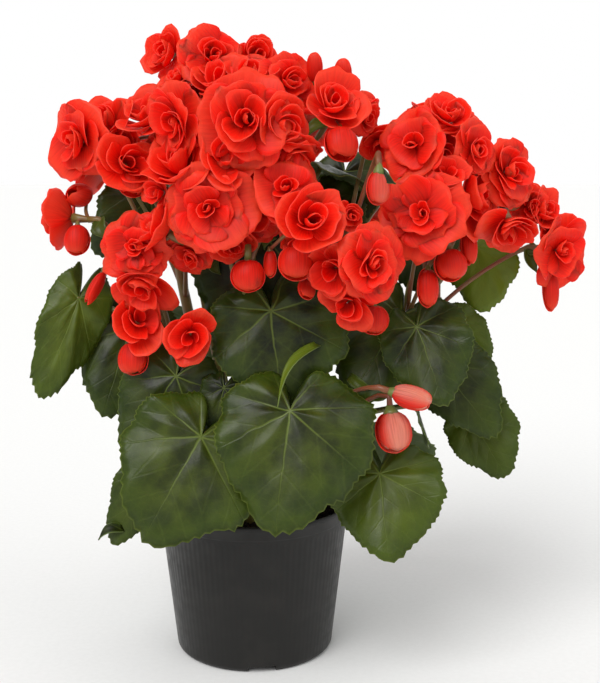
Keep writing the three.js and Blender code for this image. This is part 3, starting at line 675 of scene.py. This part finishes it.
def standHead(head):
    bloom = head["form"] != "bud"
    if "centre" not in head:
        depth = canopyDepth(head["x"], head["y"]) - head["near"]
        scale = (depth + view["distance"]) / view["focal"]
        head["centre"] = placed(head["x"], head["y"], depth)
        head["facing"] = looking(head["right"], head["rise"])
        if bloom:
            head["reach"] = headSpec["reach"] * head["span"] * scale
            head["size"] = head.get("grow", headSpec["grow"]) * head["reach"]
        else:
            head["reach"], head["long"] = (half * scale for half in head["span"])
    centre, facing = head["centre"], head["facing"]
    if bloom:
        share = headSpec["fullDepth" if head["form"] == "full" else "depth"]
        depth = share * (head["reach"] - headSpec["rim"])
        head["heart"] = centre - facing * depth * headSpec["heart"]
        head["seat"] = centre - facing * (depth * headSpec["seat"] + headSpec["ovary"])
    else:
        head["heart"] = centre - facing * head["long"] * 0.6
        head["seat"] = centre - facing * (head["long"] + 0.3)
    turn = up.rotation_difference(facing).to_matrix().to_4x4()
    head["stand"] = Matrix.Translation(head["heart"] if bloom else centre) @ turn


# the green to red swelling behind a flower, and the round green knob behind a pale bud
ovarySpec = {"stalk": 1.1, "bloom": 3, "bud": 2, "knob": 3.6, "knobPath": (4, 2.6, 1.2, -0.4, -2.5)}


def addOvary(bm, head, tint):
    seat, facing = head["seat"], head["facing"]
    if "pale" in head:
        path = [seat - facing * away for away in ovarySpec["knobPath"]]
        radius, red = head.get("knob", ovarySpec["knob"]), (-0.3, 0.2, tint)
    else:
        bloom = head["form"] != "bud"
        end = head["heart"] - facing * (0.9 if bloom else 0.3 * head["long"])
        path = [seat - facing * 1.5, seat, end.lerp(seat, 0.5), end]
        radius, red = ovarySpec["bloom" if bloom else "bud"], (0.2, 0.8, tint)
    addStalk(bm, path, ovarySpec["stalk"], radius, 8, red, 3)


def addSpray(node, heads, finishes):
    rng = random.Random(node)
    bm = newMesh()
    for head in heads:
        add = addBud if head["form"] == "bud" else addBloom
        add(bm, head, rng)
    thicken(bm, petalSpec["thickness"], 1, 2)
    for head in heads:
        addOvary(bm, head, rng.random())
    first = heads[0]
    for head in heads[1:]:
        middle = first["heart"].lerp(head["heart"], 0.5) - first["facing"] * 3 - head["facing"] * 3
        path = evenPath(smoothPath([first["seat"], middle, head["seat"]]), 8)
        addStalk(bm, path, 1.2, 1, 7, (0.7, 0.9, rng.random()), 3)
    return finishPiece("spray" + node.title().replace("_", ""), bm, finishes, "petals", node)


# leafy stems
stems = {
    "left": {"foot": (-20, -8), "top": (-52, -26, 216)},
    "front": {"foot": (-3, -22), "top": (-6, -38, 236)},
    "middle": {"foot": (14, -14), "top": (48, -34, 224)},
    "right": {"foot": (26, 2), "top": (112, -10, 222), "red": 0.8},
    "upperLeft": {"foot": (-22, 12), "top": (-50, 4, 262)},
    "crown": {"foot": (2, 4), "top": (6, -6, 272)},
    "backRight": {"foot": (16, 22), "top": (52, 38, 225)},
    "backLeft": {"foot": (-8, 26), "top": (-36, 42, 222)},
}
stemSpec = {"soil": 84, "sink": 26, "radius": 4.2, "topRadius": 3, "petiole": 1.9, "stalk": 1.35}

leafSpec = {
    "thickness": 0.6,
    "veins": 7,
    "mesh": (132, 9),
    "teeth": 33,
    "dark": (0.005, 0.008, 0.0003, 1),
    "light": (0.095, 0.132, 0.007, 1),
    "under": (0.11, 0.15, 0.06, 1),
    "vein": (0.15, 0.2, 0.03, 1),
    "margin": (0.15, 0.19, 0.03, 1),
    "fresh": (0.028, 0.054, 0.001, 1),
    # painted light and real pale green: a lightness above 1 takes on this green, for the leaf painted as lit
    # through from behind and for the pale stipule
    "young": (0.17, 0.24, 0.015, 1),  # for a lightness above 1
}

# leaves of the front: stem, stalk end and tip in the picture, their depth, roll in degrees, width, lightness.
# The lightness is partly the leaf's own green and partly painted light, raised for some leaves that lie in
# shade; above 1 it paints a leaf as lit through from behind.
leafRows = [
    ("left", (79, 299), (42, 393), (-18, -36), -25, 0.56, 0.6),
    ("left", (131, 326), (104, 409), (-8, -26), -10, 1.02, 0.15),
    ("front", (201, 437), (145, 534), (-74, -96), -8, 1.22, 0.25),
    ("front", (290, 411), (276, 526), (-80, -104), 0, 1.19, 0.2),
    ("middle", (380, 474), (388, 555), (-62, -84), 8, 1.22, 0.5),
    ("front", (271, 311), (282, 412), (-58, -70), 0, 1.18, 0.08),
    ("middle", (401, 317), (354, 391), (-30, -52), -10, 1.05, 0.2),
    ("right", (417, 327), (442, 399), (-52, -74), 8, 1, 0.15),
    ("right", (440, 364), (493, 432), (-22, -38), 14, 0.82, 0.2),
    ("right", (472, 420), (504, 474), (-12, -26), 22, 1, 0.55),
    # painted light: a lightness of 1.6 paints this leaf as lit through from behind
    ("right", (477, 246), (483, 308), (10, -2), 10, 1, 1.6),
    ("right", (453, 325), (489, 359), (-4, -10), 20, 0.84, 0.95),
    ("crown", (322, 164), (386, 186), (-22, -8), -60, 1, 0.1),
    ("crown", (345, 172), (338, 232), (14, 2), 0, 1, 0.05),
    ("front", (224, 388), (212, 432), (-56, -62), 0, 1, 0.15),
    ("left", (152, 468), (112, 540), (-62, -72), -12, 0.66, 0.3),
    ("left", (176, 376), (128, 448), (-52, -60), -10, 1.05, 0.1),
    ("upperLeft", (150, 196), (98, 250), (16, 6), -20, 1, 0.1),
    ("front", (258, 226), (222, 326), (-20, -24), 0, 1.25, 0),
    ("middle", (312, 206), (322, 276), (-12, -16), 0, 1.2, 0),
    ("right", (424, 226), (412, 288), (-6, -10), 0, 1.1, 0.05),
]
# stipules and bracts: foot and tip in the picture, how much nearer the tip is, half width, bow, lightness
bractRows = [
    ("front", (319, 346), (277, 408), 25, 3, 6, 1.1),
    ("left", (94, 216), (112, 240), 6, 4.4, 3, 0.45),
    ("middle", (350, 378), (374, 390), 4, 3.2, 2, 0.75),
    ("middle", (356, 398), (372, 412), 4, 2.8, 2, 0.7),
    ("right", (531, 232), (541, 250), 3, 3.8, 2, 0.6),
    ("right", (529, 255), (538, 274), 3, 3.4, 2, 0.6),
    ("middle", (388, 172), (396, 184), 3, 2.8, 2, 0.1),
    ("crown", (318, 122), (306, 138), 3, 3.8, 2, 0.8),
    ("front", (270, 236), (264, 250), 3, 3, 2, 0.7),
    ("front", (214, 262), (221, 275), 3, 3, 2, 0.6),
    ("left", (124, 526), (98, 540), 3, 2.8, 3, 0),
]
# leaves that face the sides, hidden from the front: stem, stalk end and tip in mm, lightness
sideRows = [
    ("right", (88, 4, 178), (116, -2, 136), 0.45),
    ("right", (66, 24, 134), (96, 28, 92), 0.2),
    ("left", (-60, 0, 172), (-84, -4, 130), 0.4),
    ("left", (-50, 20, 130), (-80, 24, 90), 0.2),
]
# leaves at the back, in a low and a high row: first and last angle in degrees, share of the reach, height
backLeaves = {
    "count": 7, "middle": (20, 0), "reach": (118, 92), "length": 55,
    "rows": ((32, 146, 0.68, 128), (12, 160, 0.72, 196)),
}


def nearestStem(point):
    names = [name for name in stems if name not in ("front", "middle")]
    return min(names, key=lambda name: (Vector(stems[name]["top"]) - point).length)


def newLeaf(*values, roll=0, width=1, droop=0.14, **more):
    names = ("stem", "end", "tip", "light", "seed")
    return dict(zip(names, values), roll=roll, width=width, droop=droop, **more)


def allLeaves():
    leaves = []
    for i, (stem, at, tip, depth, roll, width, light) in enumerate(leafRows):
        end, tip = placed(*at, depth[0]), placed(*tip, depth[1])
        leaves.append(newLeaf(stem, end, tip, light, i, roll=roll, width=width, droop=0.1))
    for i, (stem, end, tip, light) in enumerate(sideRows, 50):
        facing = (copysign(0.85, end[0]), 0, 0.5)
        leaves.append(newLeaf(stem, Vector(end), Vector(tip), light, i, facing=facing))
    spec = backLeaves
    for i in range(spec["count"]):
        first, last, share, height = spec["rows"][i % 2]
        around = radians(lerp(first, last, (i + 0.5) / spec["count"]))
        end = Vector((
            spec["middle"][0] + cos(around) * spec["reach"][0] * share,
            spec["middle"][1] + sin(around) * spec["reach"][1] * share,
            height,
        ))
        out = Vector((cos(around), sin(around), -0.95)).normalized()
        light = 0.2 + 0.1 * (i % 3)
        leaves.append(newLeaf(nearestStem(end), end, end + out * spec["length"], light, 30 + i, width=1.05))
    return leaves


def leafFrame(leaf):
    along = leaf["tip"] - leaf["end"]
    length = along.length
    along.normalize()
    light = Vector(leaf.get("facing", (0, -0.86, 0.5)))
    if leaf["end"].y > 25 and "facing" not in leaf:
        light = Vector((leaf["end"].x * 0.004, 0.8, 0.6))
    across = light.cross(along).normalized()
    turn = Matrix.Rotation(radians(leaf["roll"]), 3, along)
    return along, turn @ across, turn @ along.cross(across), length


def addLeaf(bm, leaf):
    along, across, normal, length = leafFrame(leaf)
    rng = random.Random(leaf["seed"])
    phase = [rng.uniform(0, 6.28) for _ in range(4)]
    grain = rng.random()

    def outline(around):
        tip = exp(-((around / 0.5) ** 2))
        sinus = exp(-(((pi - abs(around)) / 0.24) ** 2))
        heart = 0.56 + 0.16 * cos(around) + 0.28 * tip
        lopsided = 1 + 0.1 * sin(around)
        lobes = 1 + 0.03 * cos(7 * around)
        lobes += 0.018 * sin(11 * around + phase[0]) + 0.012 * sin(17 * around + phase[3])
        tooth = leafSpec["teeth"] * around / pi + 0.3 * sin(5 * around + phase[1])
        toothed = 1 + 0.085 * (abs(tooth - floor(tooth) - 0.35)) * (1 - sinus)
        return heart * lopsided * lobes * toothed * (1 - 0.86 * sinus)

    def flat(a, b):
        around = -pi * a
        spread = (b + 1) / 2
        radius = spread * outline(around)
        return around, spread, cos(around) * radius, sin(around) * radius

    def place(a, b):
        around, spread, x, y = flat(a, b)
        bend = spread * spread * hypot(cos(around), 0.8)
        wave = 0.045 * sin(5 * around + leaf["seed"] * 2.1) * spread * spread
        wave += 0.01 * sin(13 * around + phase[2]) * spread ** 4
        quilt = -0.012 * cos(leafSpec["veins"] * around) * sin(pi * min(spread * 1.1, 1))
        crease = 0.03 * abs(sin(around)) * spread
        puff = 0.02 * ripple(x * 9, y * 9, leaf["seed"])
        rise = wave - leaf["droop"] * bend + quilt + crease + puff
        return leaf["end"] + length * (along * x + across * y * leaf["width"] + normal * rise)

    def paint(a, b):
        _, spread, x, y = flat(a, b)
        return (0.5 + y / 2, 0.5 + x / 2), (spread, grain, leaf["light"], 1)

    verts = warpedGrid(bm, *leafSpec["mesh"], place, paint)
    bmesh.ops.remove_doubles(bm, verts=verts, dist=1e-3)


def addBract(bm, row, runs):
    _, at, tip, near, halfWidth, bow, light = row
    foot = min(runs, key=lambda point: (seen(point) - Vector(at)).length)
    end = placed(*tip, foot.y - near)
    length = (end - foot).length
    along = (end - foot).normalized()
    across = Vector((0, -0.9, 0.4)).cross(along).normalized()
    normal = along.cross(across)
    twist = 0.03 * length  # a long one turns on its way

    def place(a, b):
        s = (b + 1) / 2
        side = across * cos(twist * s) + normal * sin(twist * s)
        half = halfWidth * (0.2 + 0.8 * sin(pi * min(s + 0.12, 1) ** 0.8) ** 0.7) * (1 - 0.7 * s ** 6)
        turned = normal * (bow * sin(pi * s) + 0.35 * half * a * a)
        return foot + along * length * s - side * a * half - across * bow * sin(pi * s) + turned

    def paint(a, b):
        return (0.62 + 0.06 * a, 0.66 + 0.1 * b), (0.5 + 0.5 * abs(a) ** 4, 0.3, light, 1)

    warpedGrid(bm, 6, 10, place, paint)


def stemPath(place):
    x, y = place["foot"]
    level = stemSpec["soil"]
    collar = Vector((x, y, level + 6))
    end = Vector(place["top"])
    middle = Vector((lerp(x, end.x, 0.42), lerp(y, end.y, 0.42), (collar.z + end.z) / 2))
    return smoothPath([Vector((x, y, level - stemSpec["sink"])), collar, middle, end], 12)


def petiolePath(path, leaf):
    along, _, normal, _ = leafFrame(leaf)
    top = path[-1].z
    level = stemSpec["soil"]
    rise = (min(leaf["end"].z - 12, top) - level) / (top - level)
    start = pathPoint(path, min(max(0.24 + 0.72 * rise, 0.26), 0.8))
    behind = leaf["end"] - normal * min(7 + 0.35 * abs(leaf["roll"]), 15) - along * 2
    bow = start.lerp(behind, 0.6) + up * 0.1 * (start - leaf["end"]).length
    return evenPath(smoothPath([start, bow, behind, leaf["end"] - normal * 0.3]), 12)


def flowerStalks(path, heads, red):
    heads = sorted(heads, key=lambda head: head["seat"].z)
    for i, head in enumerate(heads):
        start = pathPoint(path, head.get("start", lerp(0.72, 0.99, (i + 1) / len(heads))))
        distance = (start - head["seat"]).length
        bow = start.lerp(head["seat"], 0.5) + up * 0.1 * distance
        before = head["seat"] - head["facing"] * min(9, 0.3 * distance)
        stalk = evenPath(smoothPath([start, bow, before, head["seat"]]), 12)
        yield stalk, (0.9, 1.1 if "pale" in head else red)


def addStem(name, leaves, heads, finishes):
    rng = random.Random(name)
    path = stemPath(stems[name])
    bm = newMesh()
    for leaf in leaves:
        addLeaf(bm, leaf)
    petioles = [petiolePath(path, leaf) for leaf in leaves]
    stalks = list(flowerStalks(path, heads, stems[name].get("red", 0.2)))
    runs = path + sum(petioles, []) + sum((stalk for stalk, _ in stalks), [])
    runs += [vert.co.copy() for vert in bm.verts]
    for row in bractRows:
        if row[0] == name:
            addBract(bm, row, runs)
    if leaves:
        thicken(bm, leafSpec["thickness"], 1, 2)
    red = (0.15, 0.5, rng.random())
    addStalk(bm, evenPath(path, 30), stemSpec["radius"], stemSpec["topRadius"], 14, red, 3, blunt=0.6)
    for petiole in petioles:
        addStalk(bm, petiole, stemSpec["petiole"], 1.4, 9, (0.3, 0.1, rng.random()), 3, swell=0.7)
    for stalk, red in stalks:
        addStalk(bm, stalk, stemSpec["stalk"], 1.2, 8, (*red, rng.random()), 3, swell=0.6, blunt=-0.7)
    node = "stem_" + "".join("_" + letter.lower() if letter.isupper() else letter for letter in name)
    return finishPiece("stem" + name[0].upper() + name[1:], bm, finishes, "foliage", node)


def leafFinishes(veins):
    skins = []
    for name in ("leafFace", "leafUnder"):
        face = name == "leafFace"
        material, tree, shader = newMaterial(
            name, Roughness=0.4 if face else 0.6, Specular_IOR_Level=0.26,
            Subsurface_Weight=0.08, Subsurface_Radius=(0.3, 0.6, 0.1), Subsurface_Scale=0.001,
        )
        uv, _ = flatOf(tree)
        spread, seed, light = toneOf(tree)[:3]
        main, side, net = useGroup(tree, veins, {"Flat": uv, "Seed": seed})[:3]
        spot = spotOf(tree)
        patches = ranged(tree, noisy(tree, spot, 60, 3), 0.3, 0.7, -0.15, 0.2)
        # each leaf's lightness takes it from dark to light green: partly the leaf's own green, partly painted
        # light
        base = mixed(tree, calc(tree, "ADD", light, patches), leafSpec["dark"], leafSpec["light"])
        base = mixed(tree, ranged(tree, spread, 0.45, 1, 0, 0.5), base, leafSpec["fresh"])
        # painted light and pale colour: above lightness 1 this mixes in a bright green, which paints the leaf
        # at (477, 246) as lit through from behind and gives the stipule its pale green
        base = mixed(tree, calc(tree, "SUBTRACT", light, 1), base, leafSpec["young"])
        if not face:
            base = mixed(tree, 0.7, base, leafSpec["under"])
        strong = times(tree, main, ranged(tree, spread, 0.05, 0.85, 0.5, 0.06))
        for share in (times(tree, side, 0.05), times(tree, net, 0.03), strong):
            base = mixed(tree, share, base, leafSpec["vein"])
        base = mixed(tree, ranged(tree, spread, 0.975, 1, 0, 0.45), base, leafSpec["margin"])
        worn = ranged(tree, noisy(tree, spot, 90), 0.3, 0.7, 0.34, 0.47)
        fill(tree, shader["Roughness"], calc(tree, "ADD", worn, 0 if face else 0.15))
        sunk = timesPlus(tree, side, -0.35, times(tree, net, -0.08))
        grain = timesPlus(tree, noisy(tree, spot, 900, 3), 0.2, timesPlus(tree, main, -1, sunk))
        dress(tree, shader, base, grain, 0.4, 0.0004)
        skins.append(material)
    return skins


stalkSpec = {
    "green": (0.11, 0.15, 0.025, 1),
    "red": (0.2, 0.035, 0.015, 1),
    "streak": (0.24, 0.2, 0.07, 1),
    "streaks": 14,
}


def stalkFinish(streaks):
    material, tree, shader = newMaterial(
        "stalkSkin", Roughness=0.4, Subsurface_Weight=0.15, Subsurface_Radius=(0.6, 0.4, 0.1),
        Subsurface_Scale=0.001,
    )
    _, uv = flatOf(tree)
    red, seed = toneOf(tree)[:2]
    inputs = {"Across": uv[0], "Along": uv[1], "Seed": seed, "Count": stalkSpec["streaks"]}
    streak = useGroup(tree, streaks, inputs)[0]
    patch = ranged(tree, noisy(tree, spotOf(tree), 45), 0.35, 0.65, -0.2, 0.25)
    base = mixed(tree, calc(tree, "ADD", red, patch), stalkSpec["green"], stalkSpec["red"])
    base = mixed(tree, times(tree, streak, 0.3), base, stalkSpec["streak"])
    dress(tree, shader, base, streak, 0.2, 0.0002)
    return material


# pot and soil
potSpec = {
    "rim": 60, "height": 94.5, "band": 9, "bandStep": 0.8, "foot": 49, "corner": 4, "wall": 1.3,
    "floor": 4, "floorThickness": 1.4, "ringInner": 39, "pad": 14,
    "notches": 3, "notchSize": (18, 17, 7.9), "notchTurn": 7,
    "holes": 6, "holeRadius": 4, "holeCircle": 27, "ribs": 96,
    "colour": (0.0085, 0.008, 0.007, 1), "dust": (0.022, 0.02, 0.017, 1),
}


def wallRadius(z):
    foot, corner = potSpec["foot"], potSpec["corner"]
    return lerp(foot, potSpec["rim"] - potSpec["bandStep"], (z - corner) / (potSpec["height"] - corner))


def spinProfile(bm, profile, steps):
    verts = [bm.verts.new((radius, 0, z)) for radius, z in profile]
    edges = [bm.edges.new(pair) for pair in zip(verts, verts[1:])]
    bmesh.ops.spin(
        bm, geom=verts + edges, cent=(0, 0, 0), axis=(0, 0, 1), angle=2 * pi, steps=steps, use_merge=True
    )
    bmesh.ops.remove_doubles(bm, verts=bm.verts[:], dist=1e-3)
    bmesh.ops.recalc_face_normals(bm, faces=bm.faces[:])
    for face in bm.faces:
        face.smooth = True


def addPot():
    spec = potSpec
    height, foot, rim, step = spec["height"], spec["foot"], spec["rim"], spec["bandStep"]
    under, ring, pad, inside = spec["floor"], spec["ringInner"], spec["pad"], foot - spec["wall"]
    bandFoot = height - spec["band"]
    top = under + spec["floorThickness"]
    bm = newMesh()
    spinProfile(bm, [
        (0, 0), (pad - 0.6, 0), (pad, 0.4), (pad + 2, under), (ring, under), (ring + 1, 0.4), (ring + 1.6, 0),
        (foot - 4, 0), (foot - 2.2, 0.4), (foot - 0.9, 1.5), (foot - 0.2, 2.8), (foot, spec["corner"]),
        *((wallRadius(z), z) for z in (20, 40, 60, bandFoot - 0.4)),
        (wallRadius(bandFoot) + 0.2, bandFoot), (wallRadius(bandFoot) + step, bandFoot + 0.7),
        (rim - 0.3, height - 3.2), (rim + 0.1, height - 2.8), (rim + 0.1, height - 0.7), (rim - 0.4, height),
        (rim - 1.3, height), (rim - 1.8, height - 0.5), (rim - step - 2, bandFoot),
        (inside, top + 1.4), (inside - 1.2, top), (0, top),
    ], 144)
    cutters = bmesh.new()
    for i in range(spec["notches"]):
        turned = Matrix.Rotation(radians(-90 + spec["notchTurn"] + i * 360 / spec["notches"]), 4, "Z")
        place = turned @ Matrix.Translation((foot - 3, 0, 0)) @ Matrix.Diagonal((*spec["notchSize"], 1))
        bmesh.ops.create_cube(cutters, size=1, matrix=place)
    circle, radius = spec["holeCircle"], spec["holeRadius"]
    for i in range(spec["holes"]):
        turn = (i + 0.5) * 2 * pi / spec["holes"]
        place = Matrix.Translation((circle * cos(turn), circle * sin(turn), under))
        bmesh.ops.create_cone(
            cutters, cap_ends=True, segments=24, radius1=radius, radius2=radius, depth=12, matrix=place
        )
    pot = finishPiece("nurseryPot", bm, [potFinish()], "pot_plastic", "pot")
    cut = cutAway(pot, cutters)
    for face in cut.polygons:
        face.use_smooth = True
    bevel = pot.modifiers.new("softEdges", "BEVEL")
    bevel.width, bevel.segments, bevel.limit_method, bevel.angle_limit = 0.3 * mm, 2, "ANGLE", radians(50)
    bevel.harden_normals = True
    return pot


def cutAway(piece, cutters):
    # notches and holes are cut once, and the cutters go
    mesh = newData("potCutters", cutters)
    tool = newObject("potCutters", mesh)
    step = piece.modifiers.new("cut", "BOOLEAN")
    step.operation, step.solver, step.object = "DIFFERENCE", "EXACT", tool
    graph = bpy.context.evaluated_depsgraph_get()
    cut = bpy.data.meshes.new_from_object(piece.evaluated_get(graph), depsgraph=graph)
    piece.modifiers.remove(step)
    old = piece.data
    piece.data = cut
    cut.name = old.name + "Cut"
    bpy.data.objects.remove(tool)
    bpy.data.meshes.remove(mesh)
    bpy.data.meshes.remove(old)
    return cut


def potFinish():
    material, tree, shader = newMaterial("potPlastic", Roughness=0.42, Specular_IOR_Level=0.32)
    spot = spotOf(tree)
    x, y, z = addNode(tree, "SeparateXYZ", {0: spot}).outputs
    around = calc(tree, "ARCTAN2", y, x)
    ribs = calc(tree, "SINE", times(tree, around, potSpec["ribs"]))
    fade = ranged(tree, z, 0.03, 0.06, 0.35, 1)
    below = ranged(tree, z, 0.082, 0.084, 1, 0)
    ribs = times(tree, times(tree, ribs, fade), below)
    dust = ranged(tree, noisy(tree, spot, 70, 4), 0.4, 0.8)
    base = mixed(tree, times(tree, dust, 0.35), potSpec["colour"], potSpec["dust"])
    fill(tree, shader["Roughness"], ranged(tree, noisy(tree, spot, 150), 0.3, 0.7, 0.36, 0.48))
    grain = timesPlus(tree, noisy(tree, spot, 1600, 2), 0.12, ribs)
    dress(tree, shader, base, grain, 0.15, 0.0003)
    return material


soilSpec = {
    "seed": 7, "gap": 0.3, "heap": 1.8, "rings": 16, "crumbs": 320, "crumbSize": (0.7, 2),
    "dark": (0.006, 0.004, 0.003, 1), "light": (0.045, 0.028, 0.017, 1),
}


def addSoil():
    spec = soilSpec
    rng = random.Random(spec["seed"])
    low = potSpec["floor"] + potSpec["floorThickness"] + spec["gap"]
    foot = potSpec["foot"] - potSpec["wall"] - 1.3
    level = stemSpec["soil"]
    top = wallRadius(level) - potSpec["wall"] - 1
    bm = newMesh()
    steps = [i / spec["rings"] for i in range(1, spec["rings"] + 1)]
    rings = [(top * (1 - step), level + spec["heap"] * sin(pi / 2 * step)) for step in steps]
    spinProfile(bm, [(0, low), (foot - 1, low), (foot, low + 2), (top, level - 2), (top, level)] + rings, 120)
    for vert in bm.verts:
        if vert.co.z > level - 1 and vert.co.xy.length < top - 1:
            vert.co.z += noise.noise(vert.co * 0.11) * 2.2 + noise.noise(vert.co * 0.45) * 1.2
    for _ in range(spec["crumbs"]):
        turn, radius = rng.uniform(0, 2 * pi), top * sqrt(rng.random()) * 0.97
        size = rng.uniform(*spec["crumbSize"])
        height = level + 1.2 + 1.6 * (1 - radius / top)
        place = Matrix.Translation((radius * cos(turn), radius * sin(turn), height))
        made = bmesh.ops.create_icosphere(bm, subdivisions=1, radius=size, matrix=place)["verts"]
        for vert in made:
            vert.co += noise.noise_vector(vert.co * 0.7) * size * 0.4
    return finishPiece("pottingSoil", bm, [soilFinish()], "potting_soil", "soil")


def soilFinish():
    material, tree, shader = newMaterial("peat", Roughness=0.95, Specular_IOR_Level=0.2)
    crumbs = ranged(tree, noisy(tree, spotOf(tree), 700, 4, 0.7), 0.3, 0.75)
    dress(tree, shader, mixed(tree, crumbs, soilSpec["dark"], soilSpec["light"]), crumbs, 0.8, 0.001)
    return material


# stage, light and camera
studio = {
    "sky": 0.55,
    "key": {"strength": 2.3, "angle": 40, "from": (-0.45, -0.8, 0.9)},
    "fill": {"strength": 0.5, "angle": 60, "from": (0.9, -0.5, 0.5)},
    "back": {"strength": 0.5, "angle": 50, "from": (0.2, 0.9, 0.8)},
    "floor": ((0.8, 0.8, 0.79, 1), (0.82, 0.82, 0.81, 1)),
}


def addStage():
    bm = bmesh.new()
    bmesh.ops.create_circle(bm, cap_ends=True, segments=64, radius=9000)
    mesh = newData("paleFloor", bm)
    material, tree, shader = newMaterial("floorPaper", Roughness=0.9, Specular_IOR_Level=0.1)
    grain = ranged(tree, noisy(tree, spotOf(tree), 300, 3), 0.3, 0.7)
    fill(tree, shader["Base Color"], mixed(tree, grain, *studio["floor"]))
    mesh.materials.append(material)
    newObject("paleFloor", mesh)

    for name in ("key", "fill", "back"):
        spec = studio[name]
        light = bpy.data.lights.new(name + "Light", "SUN")
        light.energy, light.angle = spec["strength"], radians(spec["angle"])
        turn = up.rotation_difference(Vector(spec["from"]))
        newObject(name + "Light", light).rotation_euler = turn.to_euler()

    world = bpy.data.worlds.new("studioSky")
    world.use_nodes = True
    tree = world.node_tree
    sky = tree.nodes["Background"]
    sky.inputs["Color"].default_value = (1, 1, 1, 1)
    sky.inputs["Strength"].default_value = studio["sky"]
    paper = addNode(tree, "Background", {"Color": (1, 1, 1, 1), "Strength": 1})
    ray = addNode(tree, "LightPath", {}).outputs["Is Camera Ray"]
    blend = addNode(tree, "MixShader", {0: ray, 1: sky.outputs[0], 2: paper.outputs[0]})
    tree.links.new(blend.outputs[0], tree.nodes["World Output"].inputs["Surface"])
    bpy.context.scene.world = world

    camera = bpy.data.cameras.new("photoCamera")
    camera.sensor_width = 36
    camera.lens = view["focal"] / view["height"] * camera.sensor_width
    camera.clip_start = 0.02
    eye = newObject("photoCamera", camera)
    eye.location = Vector((view["aside"], -view["distance"], view["eyeHeight"])) * mm
    eye.rotation_euler = (radians(90 - view["tilt"]), 0, 0)
    bpy.context.scene.camera = eye
    bpy.context.scene.view_settings.view_transform = "Standard"


addStage()
print("stage and camera ready")

streaks = streakGroup()
stalkSkin = stalkFinish(streaks)
petalSkins = petalFinishes(streaks) + [stalkSkin]
leafFace, leafUnder = leafFinishes(leafVeinGroup())
leafSkins = [leafFace, leafUnder, leafUnder, stalkSkin]

addPot()
addSoil()
print("pot and soil made")

backSprays()
for _, heads in sprays.values():
    for head in heads:
        standHead(head)
leaves = allLeaves()
for name in stems:
    own = [leaf for leaf in leaves if leaf["stem"] == name]
    carried = [heads[0] for stem, heads in sprays.values() if stem == name]
    addStem(name, own, carried, leafSkins)
print("leafy stems made")

for number, (_, heads) in sorted(sprays.items(), key=lambda row: row[0]):
    kind = "bud" if heads[0]["form"] == "bud" else "bloom"
    addSpray(f"{kind}_{number:02d}", heads, petalSkins)
print("flower sprays made")
